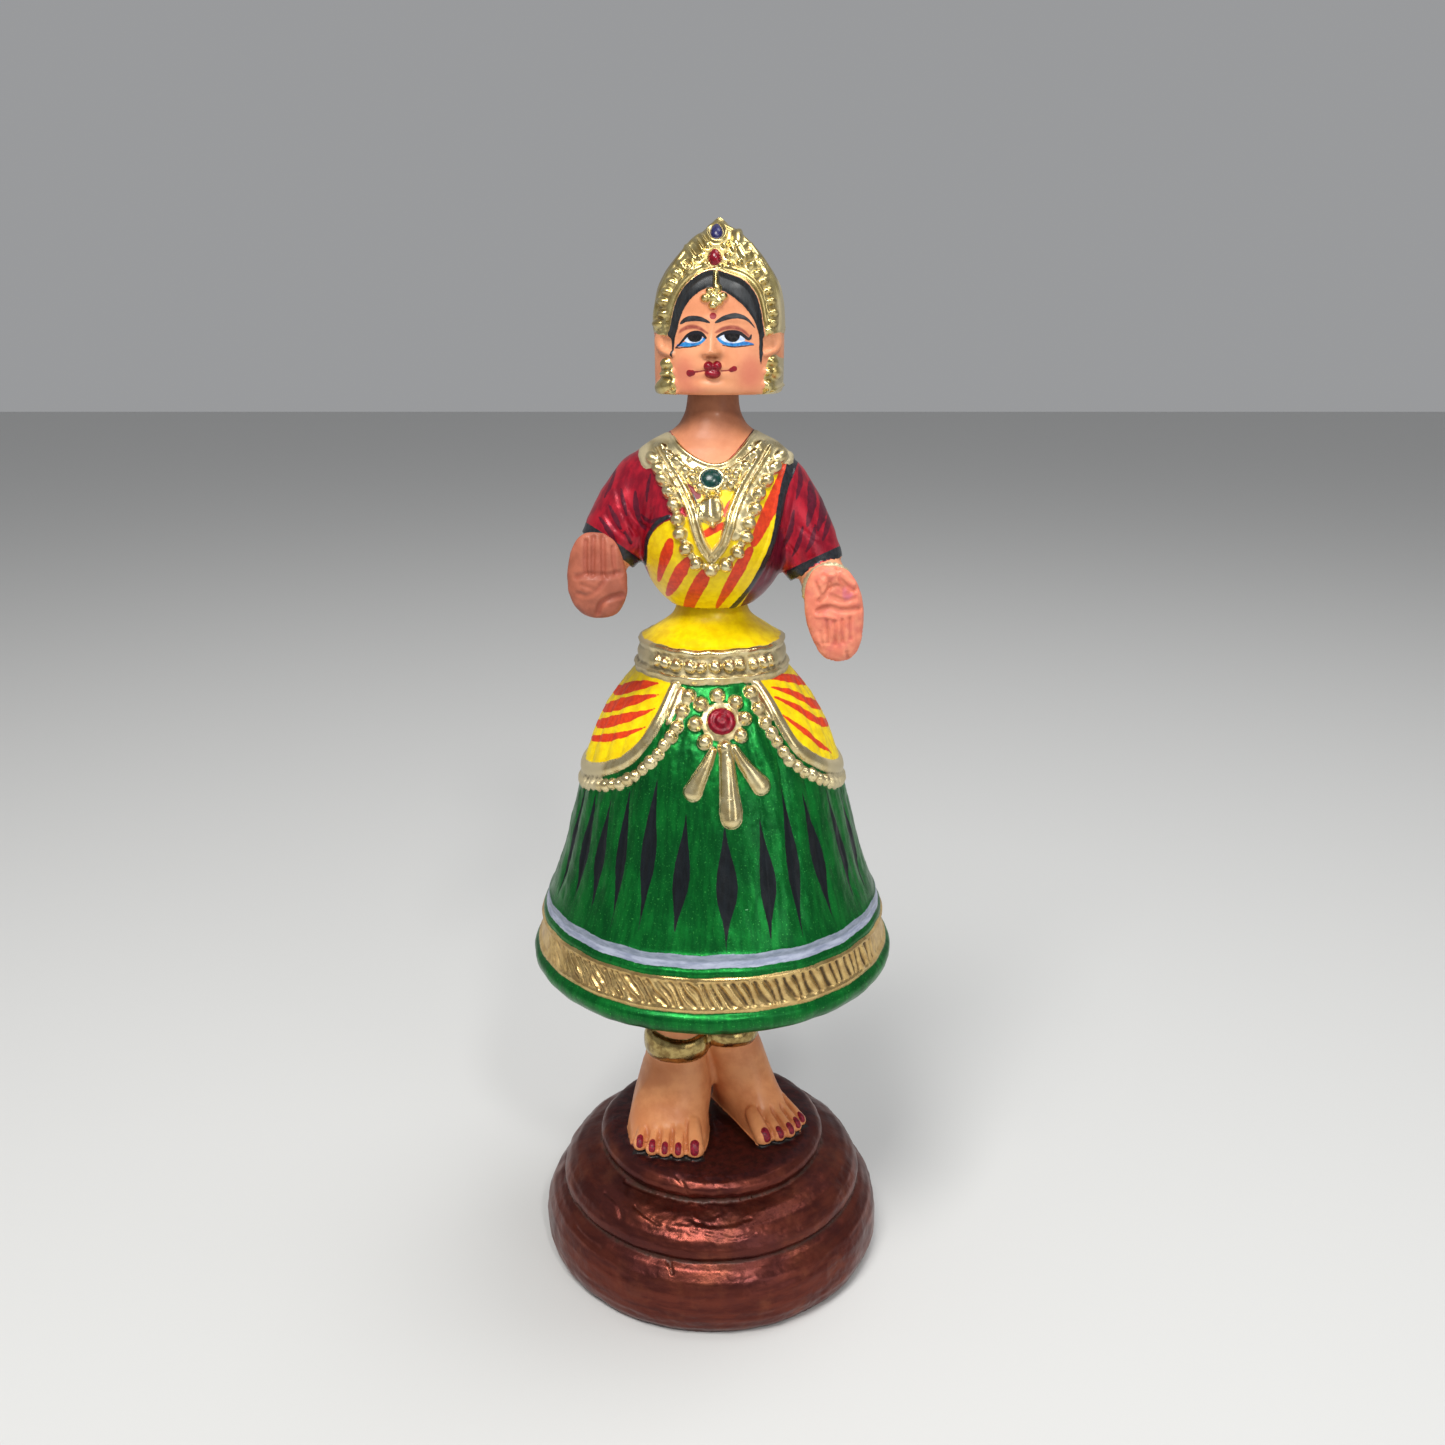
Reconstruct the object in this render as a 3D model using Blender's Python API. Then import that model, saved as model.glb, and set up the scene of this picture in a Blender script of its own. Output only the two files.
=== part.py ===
"""Painted papier-mache dancing doll: a tiered base with two feet, a bell skirt, a torso with both arms, and a head.

Metres, +Z up. The doll faces -Y and stands on z = 0 with its axis on the Z axis. Sizes below are in millimetres
and are turned into metres by MM. Each of the four pieces sits on the rounded tip of the piece below it.
"""

import math

import bmesh
import bpy
from mathutils import Matrix, Vector

MM = 0.001
GAP = 0.3            # clearance where one piece sits on the next

# overall heights
TOTAL_H = 260.0      # floor to the crown's point
PLATFORM_Z = 34.0    # top of the base's upper tier
HEM_Z = 83.4         # lowest edge of the skirt
HEM_R = 45.3         # widest radius of the rolled hem
BASE_R = 44.8        # widest radius of the base
CROWN_IN_Z = 155.5   # ceiling inside the skirt
BELT_BEAD_Z = 163.1
BELT_HIGH_Z = 166.3
LEAN_X = 1.2         # the torso and the head sit a little to +X of the base's axis
WAIST_X = -0.8       # the waist, in the torso's own frame
WAIST_TIP_Z = 195.5  # rounded tip that carries the torso
TORSO_LOW_Z = 175.0
NECK_X = -0.5
NECK_TIP_Z = 243.0   # rounded tip that carries the head
HEAD_LOW_Z = 223.0
HEAD_X = 1.0

SEG_BASE = 32
SEG_SKIRT = 32
SEG_TORSO = 20
SEG_HEAD = 20


# ---------------------------------------------------------------- helpers

def clear_scene():
    for ob in list(bpy.data.objects):
        bpy.data.objects.remove(ob, do_unlink=True)


def material(name, rgb, rough, metal):
    mat = bpy.data.materials.new(name)
    mat.use_nodes = True
    bsdf = mat.node_tree.nodes["Principled BSDF"]
    bsdf.inputs["Base Color"].default_value = (rgb[0], rgb[1], rgb[2], 1.0)
    bsdf.inputs["Roughness"].default_value = rough
    bsdf.inputs["Metallic"].default_value = metal
    return mat


def to_object(name, bm):
    bmesh.ops.recalc_face_normals(bm, faces=bm.faces)
    mesh = bpy.data.meshes.new(name)
    bm.to_mesh(mesh)
    bm.free()
    ob = bpy.data.objects.new(name, mesh)
    bpy.context.scene.collection.objects.link(ob)
    return ob


def loft(name, rings):
    """Closed solid through rings of equal point counts, in mm. The first and the last ring may be a single point."""
    bm = bmesh.new()
    rows = [[bm.verts.new(Vector(p) * MM) for p in ring] for ring in rings]
    for low, high in zip(rows, rows[1:]):
        n = max(len(low), len(high))
        for i in range(n):
            j = (i + 1) % n
            if len(low) == 1:
                bm.faces.new((low[0], high[j], high[i]))
            elif len(high) == 1:
                bm.faces.new((low[i], low[j], high[0]))
            else:
                bm.faces.new((low[i], low[j], high[j], high[i]))
    for row in (rows[0], rows[-1]):
        if len(row) > 2:
            bm.faces.new(row)
    return to_object(name, bm)


def ellipse_ring(n, cx, cy, z, half_x, front, back, power=2.0):
    """Ring of n points at height z, wider to -Y by front and to +Y by back; power above 2 squares it off."""
    ring = []
    for k in range(n):
        a = 2 * math.pi * k / n
        c, s = math.cos(a), math.sin(a)
        ex = math.copysign(abs(c) ** (2 / power), c)
        ey = math.copysign(abs(s) ** (2 / power), s)
        ring.append((cx + half_x * ex, cy + (back if s > 0 else front) * ey, z))
    return ring


def round_ring(n, cx, cy, z, r):
    return ellipse_ring(n, cx, cy, z, r, r, r)


def tube(name, points, radii, n=6, flat=1.0):
    """Tapering tube through points in mm, with rounded closed ends; flat squashes it across its own width."""
    pts = [Vector(p) for p in points]
    rings = []
    side = None
    for i, p in enumerate(pts):
        t = (pts[min(i + 1, len(pts) - 1)] - pts[max(i - 1, 0)]).normalized()
        if side is None:
            side = t.cross(Vector((0, 1, 0)) if abs(t.y) < 0.9 else Vector((1, 0, 0))).normalized()
        side = (side - t * side.dot(t)).normalized()
        up = t.cross(side)
        r = radii[i]
        rings.append([p + side * (r * math.cos(2 * math.pi * k / n)) + up * (r * flat * math.sin(2 * math.pi * k / n))
                      for k in range(n)])
        if i == 0:
            start = p - t * (r * 0.55)
        if i == len(pts) - 1:
            end = p + t * (r * 0.55)
    return loft(name, [[start]] + rings + [[end]])


def ball(name, centre, size, rot=None, subdivisions=1):
    """Small faceted bead with half sizes (x, y, z) in mm."""
    bm = bmesh.new()
    bmesh.ops.create_icosphere(bm, subdivisions=subdivisions, radius=1.0)
    m = Matrix.Diagonal((size[0] * MM, size[1] * MM, size[2] * MM, 1.0))
    if rot is not None:
        m = rot @ m
    m = Matrix.Translation(Vector(centre) * MM) @ m
    bmesh.ops.transform(bm, matrix=m, verts=bm.verts)
    return to_object(name, bm)


def combine(target, tool, operation):
    """Boolean, applied, with the tool removed afterwards."""
    mod = target.modifiers.new("step", "BOOLEAN")
    mod.operation = operation
    mod.solver = "EXACT"
    mod.object = tool
    deps = bpy.context.evaluated_depsgraph_get()
    mesh = bpy.data.meshes.new_from_object(target.evaluated_get(deps))
    target.modifiers.clear()
    old = target.data
    target.data = mesh
    bpy.data.meshes.remove(old)
    bpy.data.objects.remove(tool, do_unlink=True)


def unite(target, tools):
    for tool in tools:
        combine(target, tool, "UNION")


def finish(ob, name, mat, shift_x=0.0):
    bm = bmesh.new()
    bm.from_mesh(ob.data)
    bmesh.ops.translate(bm, vec=(shift_x * MM, 0, 0), verts=bm.verts)
    bmesh.ops.remove_doubles(bm, verts=bm.verts, dist=0.00002)
    bmesh.ops.dissolve_degenerate(bm, edges=bm.edges, dist=0.00001)
    bmesh.ops.triangulate(bm, faces=bm.faces)
    bm.to_mesh(ob.data)
    bm.free()
    ob.name = name
    ob.data.name = name
    ob.data.materials.clear()
    ob.data.materials.append(mat)
    ob.data.shade_smooth()
    ob.data.set_sharp_from_angle(angle=math.radians(38))


def lerp_table(table, t):
    """Linear read of ((t, value), ...) rows."""
    if t <= table[0][0]:
        return table[0][1]
    for (t0, v0), (t1, v1) in zip(table, table[1:]):
        if t <= t1:
            return v0 + (v1 - v0) * (t - t0) / (t1 - t0)
    return table[-1][1]


# ---------------------------------------------------------------- base with feet

BASE_PROFILE = (      # radius, height: three rounded tiers parted by grooves
    (41.8, 0.0), (43.9, 2.2), (44.8, 7.0), (43.9, 13.0), (39.3, 18.0),
    (39.9, 19.6), (38.6, 23.2), (35.2, 26.4), (29.0, 28.3), (29.9, 30.4), (28.6, 33.0), (25.6, PLATFORM_Z),
)


def base_ripple(a):
    """The tiers are pressed by hand, so they are slightly out of round; never past the nominal radius."""
    return 1.0 - 0.006 * (1 + math.sin(2 * a + 0.6)) * 0.5 - 0.006 * (1 + math.sin(3 * a + 2.2)) * 0.5


def build_base():
    rings = []
    for r, z in BASE_PROFILE:
        ring = []
        for k in range(SEG_BASE):
            a = 2 * math.pi * k / SEG_BASE
            rr = r * base_ripple(a) if z > 0 else r
            ring.append((rr * math.cos(a), rr * math.sin(a), z))
        rings.append(ring)
    base = loft("base", rings)
    tools = []
    feet = (
        # ankle x, y, turn outwards in degrees, ankle radius, scale across, length from ankle to toe line
        (-8.8, 0.2, -4.0, 7.5, 1.0, 19.2),
        (5.3, 4.0, 42.0, 6.9, 0.94, 18.6),
    )
    for ax, ay, turn, ankle_r, wide, reach in feet:
        t = math.radians(turn)
        fwd = Vector((math.sin(t), -math.cos(t), 0))
        lat = Vector((math.cos(t), math.sin(t), 0))
        origin = Vector((ax, ay, PLATFORM_Z - 0.8))
        stations = (      # distance from the ankle, half width, height over the platform
            (-8.8, 4.2, 7.0), (-6.2, 7.2, 15.0), (0.5, 8.7, 22.0), (6.5, 9.9, 18.0),
            (12.0, 10.3, 11.2), (16.0, 10.3, 6.8), (reach - 1.0, 9.7, 4.4),
        )
        rings = []
        for s, hw, h in stations:
            ring = []
            for k in range(12):
                a = 2 * math.pi * (k + 0.5) / 12
                cx, cz = math.cos(a), math.sin(a)
                px = hw * wide * math.copysign(abs(cx) ** 0.8, cx)
                pz = h * (0.5 + 0.5 * math.copysign(abs(cz) ** 0.9, cz))
                px *= 1.0 - 0.14 * (pz / h) ** 2
                ring.append(origin + fwd * s + lat * px + Vector((0, 0, pz)))
            rings.append(ring)
        tools.append(loft("foot", rings))
        for i in range(5):
            u = -1 + 2 * i / 4                      # across the foot
            inner = u if turn < 0 else -u           # +1 at the great toe
            off = u * 7.5 * wide
            length = reach - 0.4 - 1.5 * (1 - inner) * 0.5 - 0.7 * abs(u)
            size = 2.15 + 0.35 * (inner + 1) * 0.5
            centre = origin + fwd * (length - 1.6) + lat * off + Vector((0, 0, 2.5))
            rot = Matrix.Rotation(t, 4, "Z")
            tools.append(ball("toe", centre, (size, 3.6, size), rot))
        # lower leg, leaning in to meet the other one inside the skirt
        out = -1.5 if ax < 0 else 0.8
        lean = ((ax + out, ay, 41.3, ankle_r + 2.6), (ax + out * 0.8, ay, 49.6, ankle_r + 1.7),
                (ax, ay, 57.2, ankle_r), (ax * 0.95, ay * 0.9, 71.0, ankle_r + 0.3),
                (ax * 0.72, ay * 0.6, 86.0, ankle_r + 1.8), (ax * 0.42, ay * 0.3, 101.0, ankle_r + 2.2))
        tools.append(loft("leg", [round_ring(11, x, y, z, r) for x, y, z, r in lean]))
        # anklet: a plain bulging band round the ankle
        band = ((55.3, 0.7), (57.9, 1.7), (60.7, 0.7))
        lift = 0.0 if turn < 0 else 1.3
        tools.append(loft("anklet", [round_ring(15, ax, ay, z + lift, ankle_r + d) for z, d in band]))
    # the legs go on up as one tapering post and end in a rounded tip that carries the skirt
    post = ((84.6, 9.0), (104, 11.6), (126, 9.6), (146, 6.4), (152.8, 4.0), (154.7, 1.8))
    tip_x = waist_shift(CROWN_IN_Z)
    rings = [round_ring(14, tip_x - 1.2 * (1 - (z - 84) / 71), 1.3 * (1 - (z - 84) / 71), z, r) for z, r in post]
    tools.append(loft("post", rings + [[(tip_x, 0, CROWN_IN_Z - GAP)]]))
    unite(base, tools)
    finish(base, "base_with_feet", material("base_paint", (0.16, 0.045, 0.035), 0.38, 0.6))


# ---------------------------------------------------------------- skirt

SKIRT_OUTER = (       # radius, height, from the hem up to the waist's tip
    (44.3, HEM_Z), (HEM_R, 85.6), (45.0, 88.8), (43.7, 90.2), (42.2, 97.4), (42.5, 98.7), (41.9, 101.0),
    (40.4, 103.4), (37.7, 109.7), (35.3, 118.3), (31.9, 132.0), (28.1, 143.5), (23.8, 151.6),
    (18.6, 158.6), (18.4, 160.6), (17.0, 161.4), (17.9, BELT_BEAD_Z), (16.6, 164.8), (16.4, BELT_HIGH_Z),
    (14.6, 167.6), (11.4, 169.8), (8.9, 172.0), (8.2, 174.6), (6.2, 181.0), (4.8, 190.0), (2.6, 194.5),
)
SKIRT_INNER = (
    (42.6, HEM_Z), (42.0, 88.0), (37.2, 104.0), (32.7, 117.0), (26.6, 140.0), (21.4, 149.0), (15.0, 153.6), (8.0, 155.0),
)


def waist_shift(z):
    return lerp_table(((84.0, 0.3), (174.0, LEAN_X + WAIST_X), (196.0, LEAN_X + NECK_X)), z)


def skirt_radius(z):
    rows = sorted((zz, r) for r, zz in SKIRT_OUTER)
    return lerp_table(rows, z)


def on_skirt(angle_deg, z, lift=0.0):
    """Point on the skirt's outer face; angle 0 is the front (-Y), positive towards +X."""
    a = math.radians(angle_deg)
    r = skirt_radius(z) + lift
    return Vector((waist_shift(z) + r * math.sin(a), -r * math.cos(a), z))


def swag_path(side, n):
    """The side panel's gold edge: down from the belt near the front, then round towards the back."""
    pts = []
    for i in range(n):
        u = i / (n - 1)
        ang = side * (16.5 + 12.0 * u + 55.0 * u ** 2.2)
        z = 158.2 - 24.5 * math.sin(u * math.pi / 2) ** 1.15
        pts.append((ang, z))
    return pts


def build_skirt():
    rings = []
    for r, z in SKIRT_OUTER:
        flute = 0.32 * max(0.0, min(1.0, (150.0 - z) / 20.0)) * max(0.0, min(1.0, (z - 103.5) / 8.0))
        ring = []
        for k in range(SEG_SKIRT):
            a = 2 * math.pi * k / SEG_SKIRT
            rr = r - (flute if k % 2 else 0.0)
            if z == BELT_BEAD_Z and k % 2:
                rr -= 1.0                # the belt's beads stand out between small hollows
            ring.append((waist_shift(z) + rr * math.cos(a), rr * math.sin(a), z))
        rings.append(ring)
    rings.append([(LEAN_X + NECK_X, 0, WAIST_TIP_Z)])
    skirt = loft("skirt", rings)
    cut = [round_ring(SEG_SKIRT // 2, waist_shift(HEM_Z), 0, HEM_Z - 3.0, 42.7)]
    cut += [round_ring(SEG_SKIRT // 2, waist_shift(z), 0, z, r) for r, z in SKIRT_INNER]
    cut.append([(waist_shift(CROWN_IN_Z), 0, CROWN_IN_Z)])
    combine(skirt, loft("hollow", cut), "DIFFERENCE")

    tools = []
    # swags: a smooth edge band and a row of beads outside it
    for side in (-1, 1):
        path = swag_path(side, 8)
        tools.append(tube("edge", [on_skirt(a, z, 0.15) for a, z in path], [1.5] * 8, n=5))
        for i, (a, z) in enumerate(swag_path(side, 9)):
            if i in (0, 8):
                continue
            a2 = a - side * 4.4 * (1 - i / 9) ** 0.7
            z2 = z - 2.9 * (0.35 + 0.65 * i / 9)
            tools.append(ball("bead", on_skirt(a2, z2, 0.3), (1.4, 1.4, 1.4)))
    # rosette and its three drops
    cz = 152.2
    tools.append(ball("stone", on_skirt(1.5, cz, 0.3), (3.2, 2.0, 3.2)))
    for k in range(8):
        b = 2 * math.pi * (k + 0.5) / 8
        z = cz + 5.3 * math.cos(b) * 0.93
        a = 1.5 + math.degrees(5.3 * math.sin(b) / skirt_radius(z))
        tools.append(ball("bead", on_skirt(a, z, 0.35), (1.4, 1.4, 1.4)))
    for a0, z0, a1, z1, r1 in ((2.2, 146.6, 4.2, 131.6, 2.1), (-3.0, 145.8, -8.6, 136.6, 1.9), (6.5, 145.8, 16.5, 138.0, 1.9)):
        pts = [on_skirt(a0 + (a1 - a0) * u, z0 + (z1 - z0) * u, 0.2) for u in (0, 0.35, 0.7, 0.95)]
        tools.append(tube("drop", pts, [0.9, 1.25, r1 * 0.85, r1 * 0.9], n=6))
    unite(skirt, tools)
    finish(skirt, "skirt", material("skirt_paint", (0.01, 0.18, 0.045), 0.35, 0.35))


# ---------------------------------------------------------------- torso

TORSO_RINGS = (       # height, centre x, half width, front depth, back depth
    (175.0, -0.8, 9.9, 10.2, 9.6), (177.4, -0.7, 12.4, 13.4, 11.2), (181.0, -0.5, 15.0, 16.6, 12.6),
    (186.0, -0.4, 17.0, 19.2, 13.6), (191.0, -0.4, 18.0, 20.2, 13.8), (196.0, -0.4, 18.4, 19.6, 13.6),
    (201.0, -0.4, 19.0, 17.2, 13.0), (205.0, -0.4, 18.8, 14.6, 12.2), (208.6, -0.4, 17.4, 12.2, 11.2),
    (211.2, -0.4, 15.2, 10.6, 10.2), (213.6, -0.5, 11.4, 8.8, 8.8), (216.2, -0.5, 7.8, 7.5, 7.5),
    (219.4, -0.5, 6.2, 6.2, 6.2), (224.0, -0.4, 5.7, 5.7, 5.7), (232.0, -0.2, 5.2, 5.2, 5.2),
    (238.0, 0.0, 4.6, 4.6, 4.6), (241.6, 0.0, 3.0, 3.0, 3.0),
)


def chest_front(x, z):
    """y of the chest's front face at x and z."""
    half = lerp_table([(r[0], r[2]) for r in TORSO_RINGS], z)
    depth = lerp_table([(r[0], r[3]) for r in TORSO_RINGS], z)
    u = min(0.985, abs(x + 0.4) / half)
    return -depth * math.sqrt(1 - u * u)


def chest_point(x, z, lift=0.0):
    return Vector((x, chest_front(x, z) - lift, z))


def hand(centre, half_w, half_t, length, lean_x, tip_round, fingers_up):
    """Flat oval hand, palm to -Y; length along Z, with lean_x sideways over that length."""
    rings = []
    n = 12
    steps = 6
    for i in range(steps):
        u = -1 + 2 * (i + 0.5) / steps
        w = half_w * (1 - abs(u) ** tip_round) ** 0.5
        # narrower at the finger end
        f = u if fingers_up else -u
        w *= 1.0 - 0.16 * max(0.0, f)
        t = half_t * (1 - abs(u) ** 3) ** 0.5 * (1.0 - 0.18 * f)
        cx = centre[0] + lean_x * u * 0.5
        cz = centre[2] + length * 0.5 * u
        ring = []
        for k in range(n):
            a = 2 * math.pi * k / n
            c, s = math.cos(a), math.sin(a)
            ring.append((cx + w * c, centre[1] + t * math.copysign(abs(s) ** 0.8, s), cz))
        rings.append(ring)
    low = [(centre[0] - lean_x * 0.5, centre[1], centre[2] - length * 0.5)]
    high = [(centre[0] + lean_x * 0.5, centre[1], centre[2] + length * 0.5)]
    return loft("hand", [low] + rings + [high])


def build_torso():
    n = SEG_TORSO
    rings = [ellipse_ring(n, cx, 0, z, a, f, b, 2.15 if z < 214 else 2.0) for z, cx, a, f, b in TORSO_RINGS]
    torso = loft("torso", rings + [[(0, 0, NECK_TIP_Z)]])
    tools = []
    # sleeves, then forearms, then hands: (-X) fingers up, (+X) fingers down
    tools.append(tube("sleeve", [(-10.5, 0.5, 205.5), (-15.6, 0, 201.6), (-19.4, -1.2, 196.6), (-22.4, -2.6, 191.6), (-24.4, -3.6, 188.2)],
                      [7.4, 8.3, 8.3, 7.9, 7.3], n=12))
    tools.append(tube("sleeve", [(10.0, 0.5, 205.0), (14.2, 0, 200.5), (17.4, -1.0, 195.0), (20.4, -2.4, 189.2), (22.8, -3.4, 184.9)],
                      [7.4, 8.2, 8.4, 7.9, 7.1], n=12))
    tools.append(tube("forearm", [(-25.5, -3.5, 186.0), (-26.8, -9.5, 182.6), (-27.2, -16.5, 181.0), (-26.4, -22.0, 182.5)],
                      [6.0, 6.0, 5.2, 4.4], n=10))
    tools.append(tube("forearm", [(24.4, -3.6, 183.0), (25.4, -9.0, 179.6), (26.2, -15.5, 178.2), (26.4, -20.5, 179.0)],
                      [5.6, 5.6, 4.9, 4.2], n=10))
    tools.append(hand((-25.6, -24.6, 185.6), 6.5, 2.9, 18.8, -0.6, 2.6, True))
    tools.append(hand((26.5, -22.8, 176.6), 6.4, 2.9, 21.2, -4.2, 2.7, False))
    # bangle on the +X wrist
    tools.append(tube("bangle", [(25.0, -10.6, 179.3), (25.3, -12.2, 178.9)], [6.3, 6.2], n=9))
    # collar over both shoulders
    collar = []
    for k in range(11):
        a = -200 + 220 * k / 10
        s, c = math.sin(math.radians(a)), math.cos(math.radians(a))
        z = 211.4 - (3.6 * max(0.0, -s))
        half = lerp_table([(r[0], r[2]) for r in TORSO_RINGS], z)
        depth = lerp_table([(r[0], r[3] if s < 0 else r[4]) for r in TORSO_RINGS], z)
        collar.append((-0.4 + half * c, depth * s, z))
    tools.append(tube("collar", collar, [1.2] * 11, n=5))
    # long V necklace: smooth double ridge with a bead row outside it
    def v_path(m, wide, top, low):
        pts = []
        for i in range(m):
            u = -1 + 2 * i / (m - 1)
            x = -0.6 + wide * math.copysign(abs(u) ** 0.9, u)
            z = low + (top - low) * abs(u) ** 1.45
            pts.append((x, z))
        return pts
    tools.append(tube("band", [chest_point(x, z, 0.2) for x, z in v_path(11, 11.2, 207.8, 188.2)], [1.6] * 11, n=5))
    for x, z in v_path(11, 13.8, 206.4, 185.6):
        tools.append(ball("bead", chest_point(x, z, 0.4), (1.5, 1.5, 1.5)))
    # green stone and fluted pendant
    tools.append(ball("stone", chest_point(-0.8, 204.8, 0.5), (2.5, 1.5, 1.9)))
    tools.append(ball("pendant", chest_point(-1.2, 199.0, 0.5), (3.2, 2.2, 3.4)))
    unite(torso, tools)
    # socket for the waist
    socket = ((172.0, 9.0), (176.0, 8.9), (179.0, 11.4), (186.0, 12.2), (191.0, 10.6), (194.6, 7.0))
    rings = [round_ring(16, WAIST_X, 0, z, r) for z, r in socket] + [[(NECK_X, 0, WAIST_TIP_Z + GAP)]]
    combine(torso, loft("socket", rings), "DIFFERENCE")
    finish(torso, "torso", material("torso_paint", (0.42, 0.02, 0.05), 0.35, 0.25), LEAN_X)


# ---------------------------------------------------------------- head

HEAD_RINGS = (        # height, half width, front depth, back depth
    (HEAD_LOW_Z, 13.4, 11.2, 11.6), (224.2, 14.3, 12.4, 12.6), (229.0, 14.5, 13.0, 13.2), (235.0, 14.5, 13.2, 13.6),
    (241.0, 14.2, 13.0, 13.4), (245.0, 13.6, 12.4, 12.8), (248.4, 12.2, 11.2, 11.6), (251.4, 10.0, 9.6, 10.0),
    (254.4, 6.8, 7.4, 7.4), (257.2, 3.2, 4.6, 3.6),
)


def head_front(x, z):
    half = lerp_table([(r[0], r[1]) for r in HEAD_RINGS], z)
    depth = lerp_table([(r[0], r[2]) for r in HEAD_RINGS], z)
    u = min(0.97, abs(x - HEAD_X) / half)
    return -depth * (1 - u ** 2.6) ** (1 / 2.6)


def head_point(x, z, lift=0.0):
    return Vector((x, head_front(x, z) - lift, z))


def arch(m, half_w, foot_z, top_z, power):
    pts = []
    for i in range(m):
        u = -1 + 2 * i / (m - 1)
        x = HEAD_X + half_w * math.sin(u * math.pi / 2)
        z = foot_z + (top_z - foot_z) * max(0.0, math.cos(u * math.pi / 2)) ** power
        pts.append((x, z))
    return pts


def build_head():
    n = SEG_HEAD
    rings = [ellipse_ring(n, HEAD_X, 0, z, a, f, b, 2.6) for z, a, f, b in HEAD_RINGS]
    head = loft("head", rings + [[(HEAD_X, -1.6, TOTAL_H)]])
    tools = []
    # crown: a raised arch from ear to ear, with a bead row on it
    path = arch(11, 12.8, 236.0, 253.6, 0.75)
    tools.append(tube("arch", [head_point(x, z, 0.1) for x, z in path], [1.4] * 11, n=5))
    for x, z in arch(9, 10.7, 236.6, 250.0, 0.75):
        tools.append(ball("bead", head_point(x, z, 0.4), (1.4, 1.3, 1.4)))
    tools.append(ball("blue_stone", head_point(0.9, 256.2, 0.2), (1.6, 1.2, 2.2)))
    tools.append(ball("red_stone", head_point(0.6, 250.8, 0.6), (1.5, 1.2, 1.8)))
    tools.append(ball("drop", head_point(0.1, 242.2, 0.3), (2.2, 1.1, 1.4)))
    # nose, lips and chin
    tools.append(tube("nose", [head_point(-0.2, 237.4, -0.2), head_point(-0.3, 234.4, 0.5), head_point(-0.4, 231.9, 1.2)],
                      [0.8, 1.0, 1.5], n=6))
    tools.append(ball("lips", head_point(-0.4, 228.2, 0.2), (1.7, 1.2, 1.6)))
    # ears and stacked earrings
    for side, ex in ((-1, -12.1), (1, 12.9)):
        y = -8.6
        tools.append(ball("ear", (ex, y, 233.2), (1.6, 2.2, 3.0)))
        for z, r in ((229.1, 1.8), (225.9, 2.1)):
            tools.append(ball("earring", (ex + 0.1 * side, y - 0.4, z), (r * 0.85, r, r * 0.9)))
    unite(head, tools)
    # hollow, open below
    wall = 2.6
    cut = [ellipse_ring(n // 2, HEAD_X, 0, z, a - wall, f - wall, b - wall, 2.4)
           for z, a, f, b in ((HEAD_LOW_Z - 2.0, 14.3, 12.6, 12.8), (229.0, 14.3, 12.6, 12.9), (236.0, 13.6, 12.4, 12.8))]
    cut += [ellipse_ring(n // 2, HEAD_X * 0.5, 0, 240.6, 7.6, 7.4, 7.6, 2.2), [(0, 0, NECK_TIP_Z + GAP)]]
    combine(head, loft("hollow", cut), "DIFFERENCE")
    finish(head, "head", material("head_paint", (0.62, 0.28, 0.14), 0.4, 0.1), LEAN_X)


clear_scene()
build_base()
build_skirt()
build_torso()
build_head()
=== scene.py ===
"""Looks of the papier-mache dancing doll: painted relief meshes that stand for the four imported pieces.

Sizes are in millimetres until MM turns them into metres. The doll faces -Y, stands on z = 0 and its axis is the Z axis.
Each piece starts as a smooth body, gets its relief by moving its points along their normals, and carries signed
distances to every painted area as point attributes, which its node material turns into crisp brushed edges.
"""

import math

import bpy
import numpy as np
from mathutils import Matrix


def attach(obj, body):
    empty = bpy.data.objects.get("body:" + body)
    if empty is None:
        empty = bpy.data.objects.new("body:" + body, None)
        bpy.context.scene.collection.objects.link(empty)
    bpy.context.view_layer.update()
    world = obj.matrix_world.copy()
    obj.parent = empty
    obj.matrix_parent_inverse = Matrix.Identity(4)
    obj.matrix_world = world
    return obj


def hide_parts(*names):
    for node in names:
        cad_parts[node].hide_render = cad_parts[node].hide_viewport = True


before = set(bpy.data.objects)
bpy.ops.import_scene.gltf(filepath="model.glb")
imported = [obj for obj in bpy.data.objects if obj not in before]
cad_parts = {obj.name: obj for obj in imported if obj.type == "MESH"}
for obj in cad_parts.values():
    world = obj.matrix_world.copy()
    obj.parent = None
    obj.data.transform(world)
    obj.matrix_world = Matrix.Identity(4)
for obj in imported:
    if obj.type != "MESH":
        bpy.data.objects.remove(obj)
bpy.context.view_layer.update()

MM = 0.001


# the camera, which the painted charts below are measured in too
CAM_X, CAM_Y, CAM_Z = 2.9, -311.7, 241.3
CAM_TILT = math.radians(17.27)      # down from level
CHART_F, CHART_C = 1335.0, 722.5    # focal length and centre of the 1445 square chart

LEAN_X = 1.2
HEAD_AXIS = 2.2
HEM_Z = 83.4
PLATFORM_Z = 34.0


# ---------------------------------------------------------------- numbers

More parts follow.
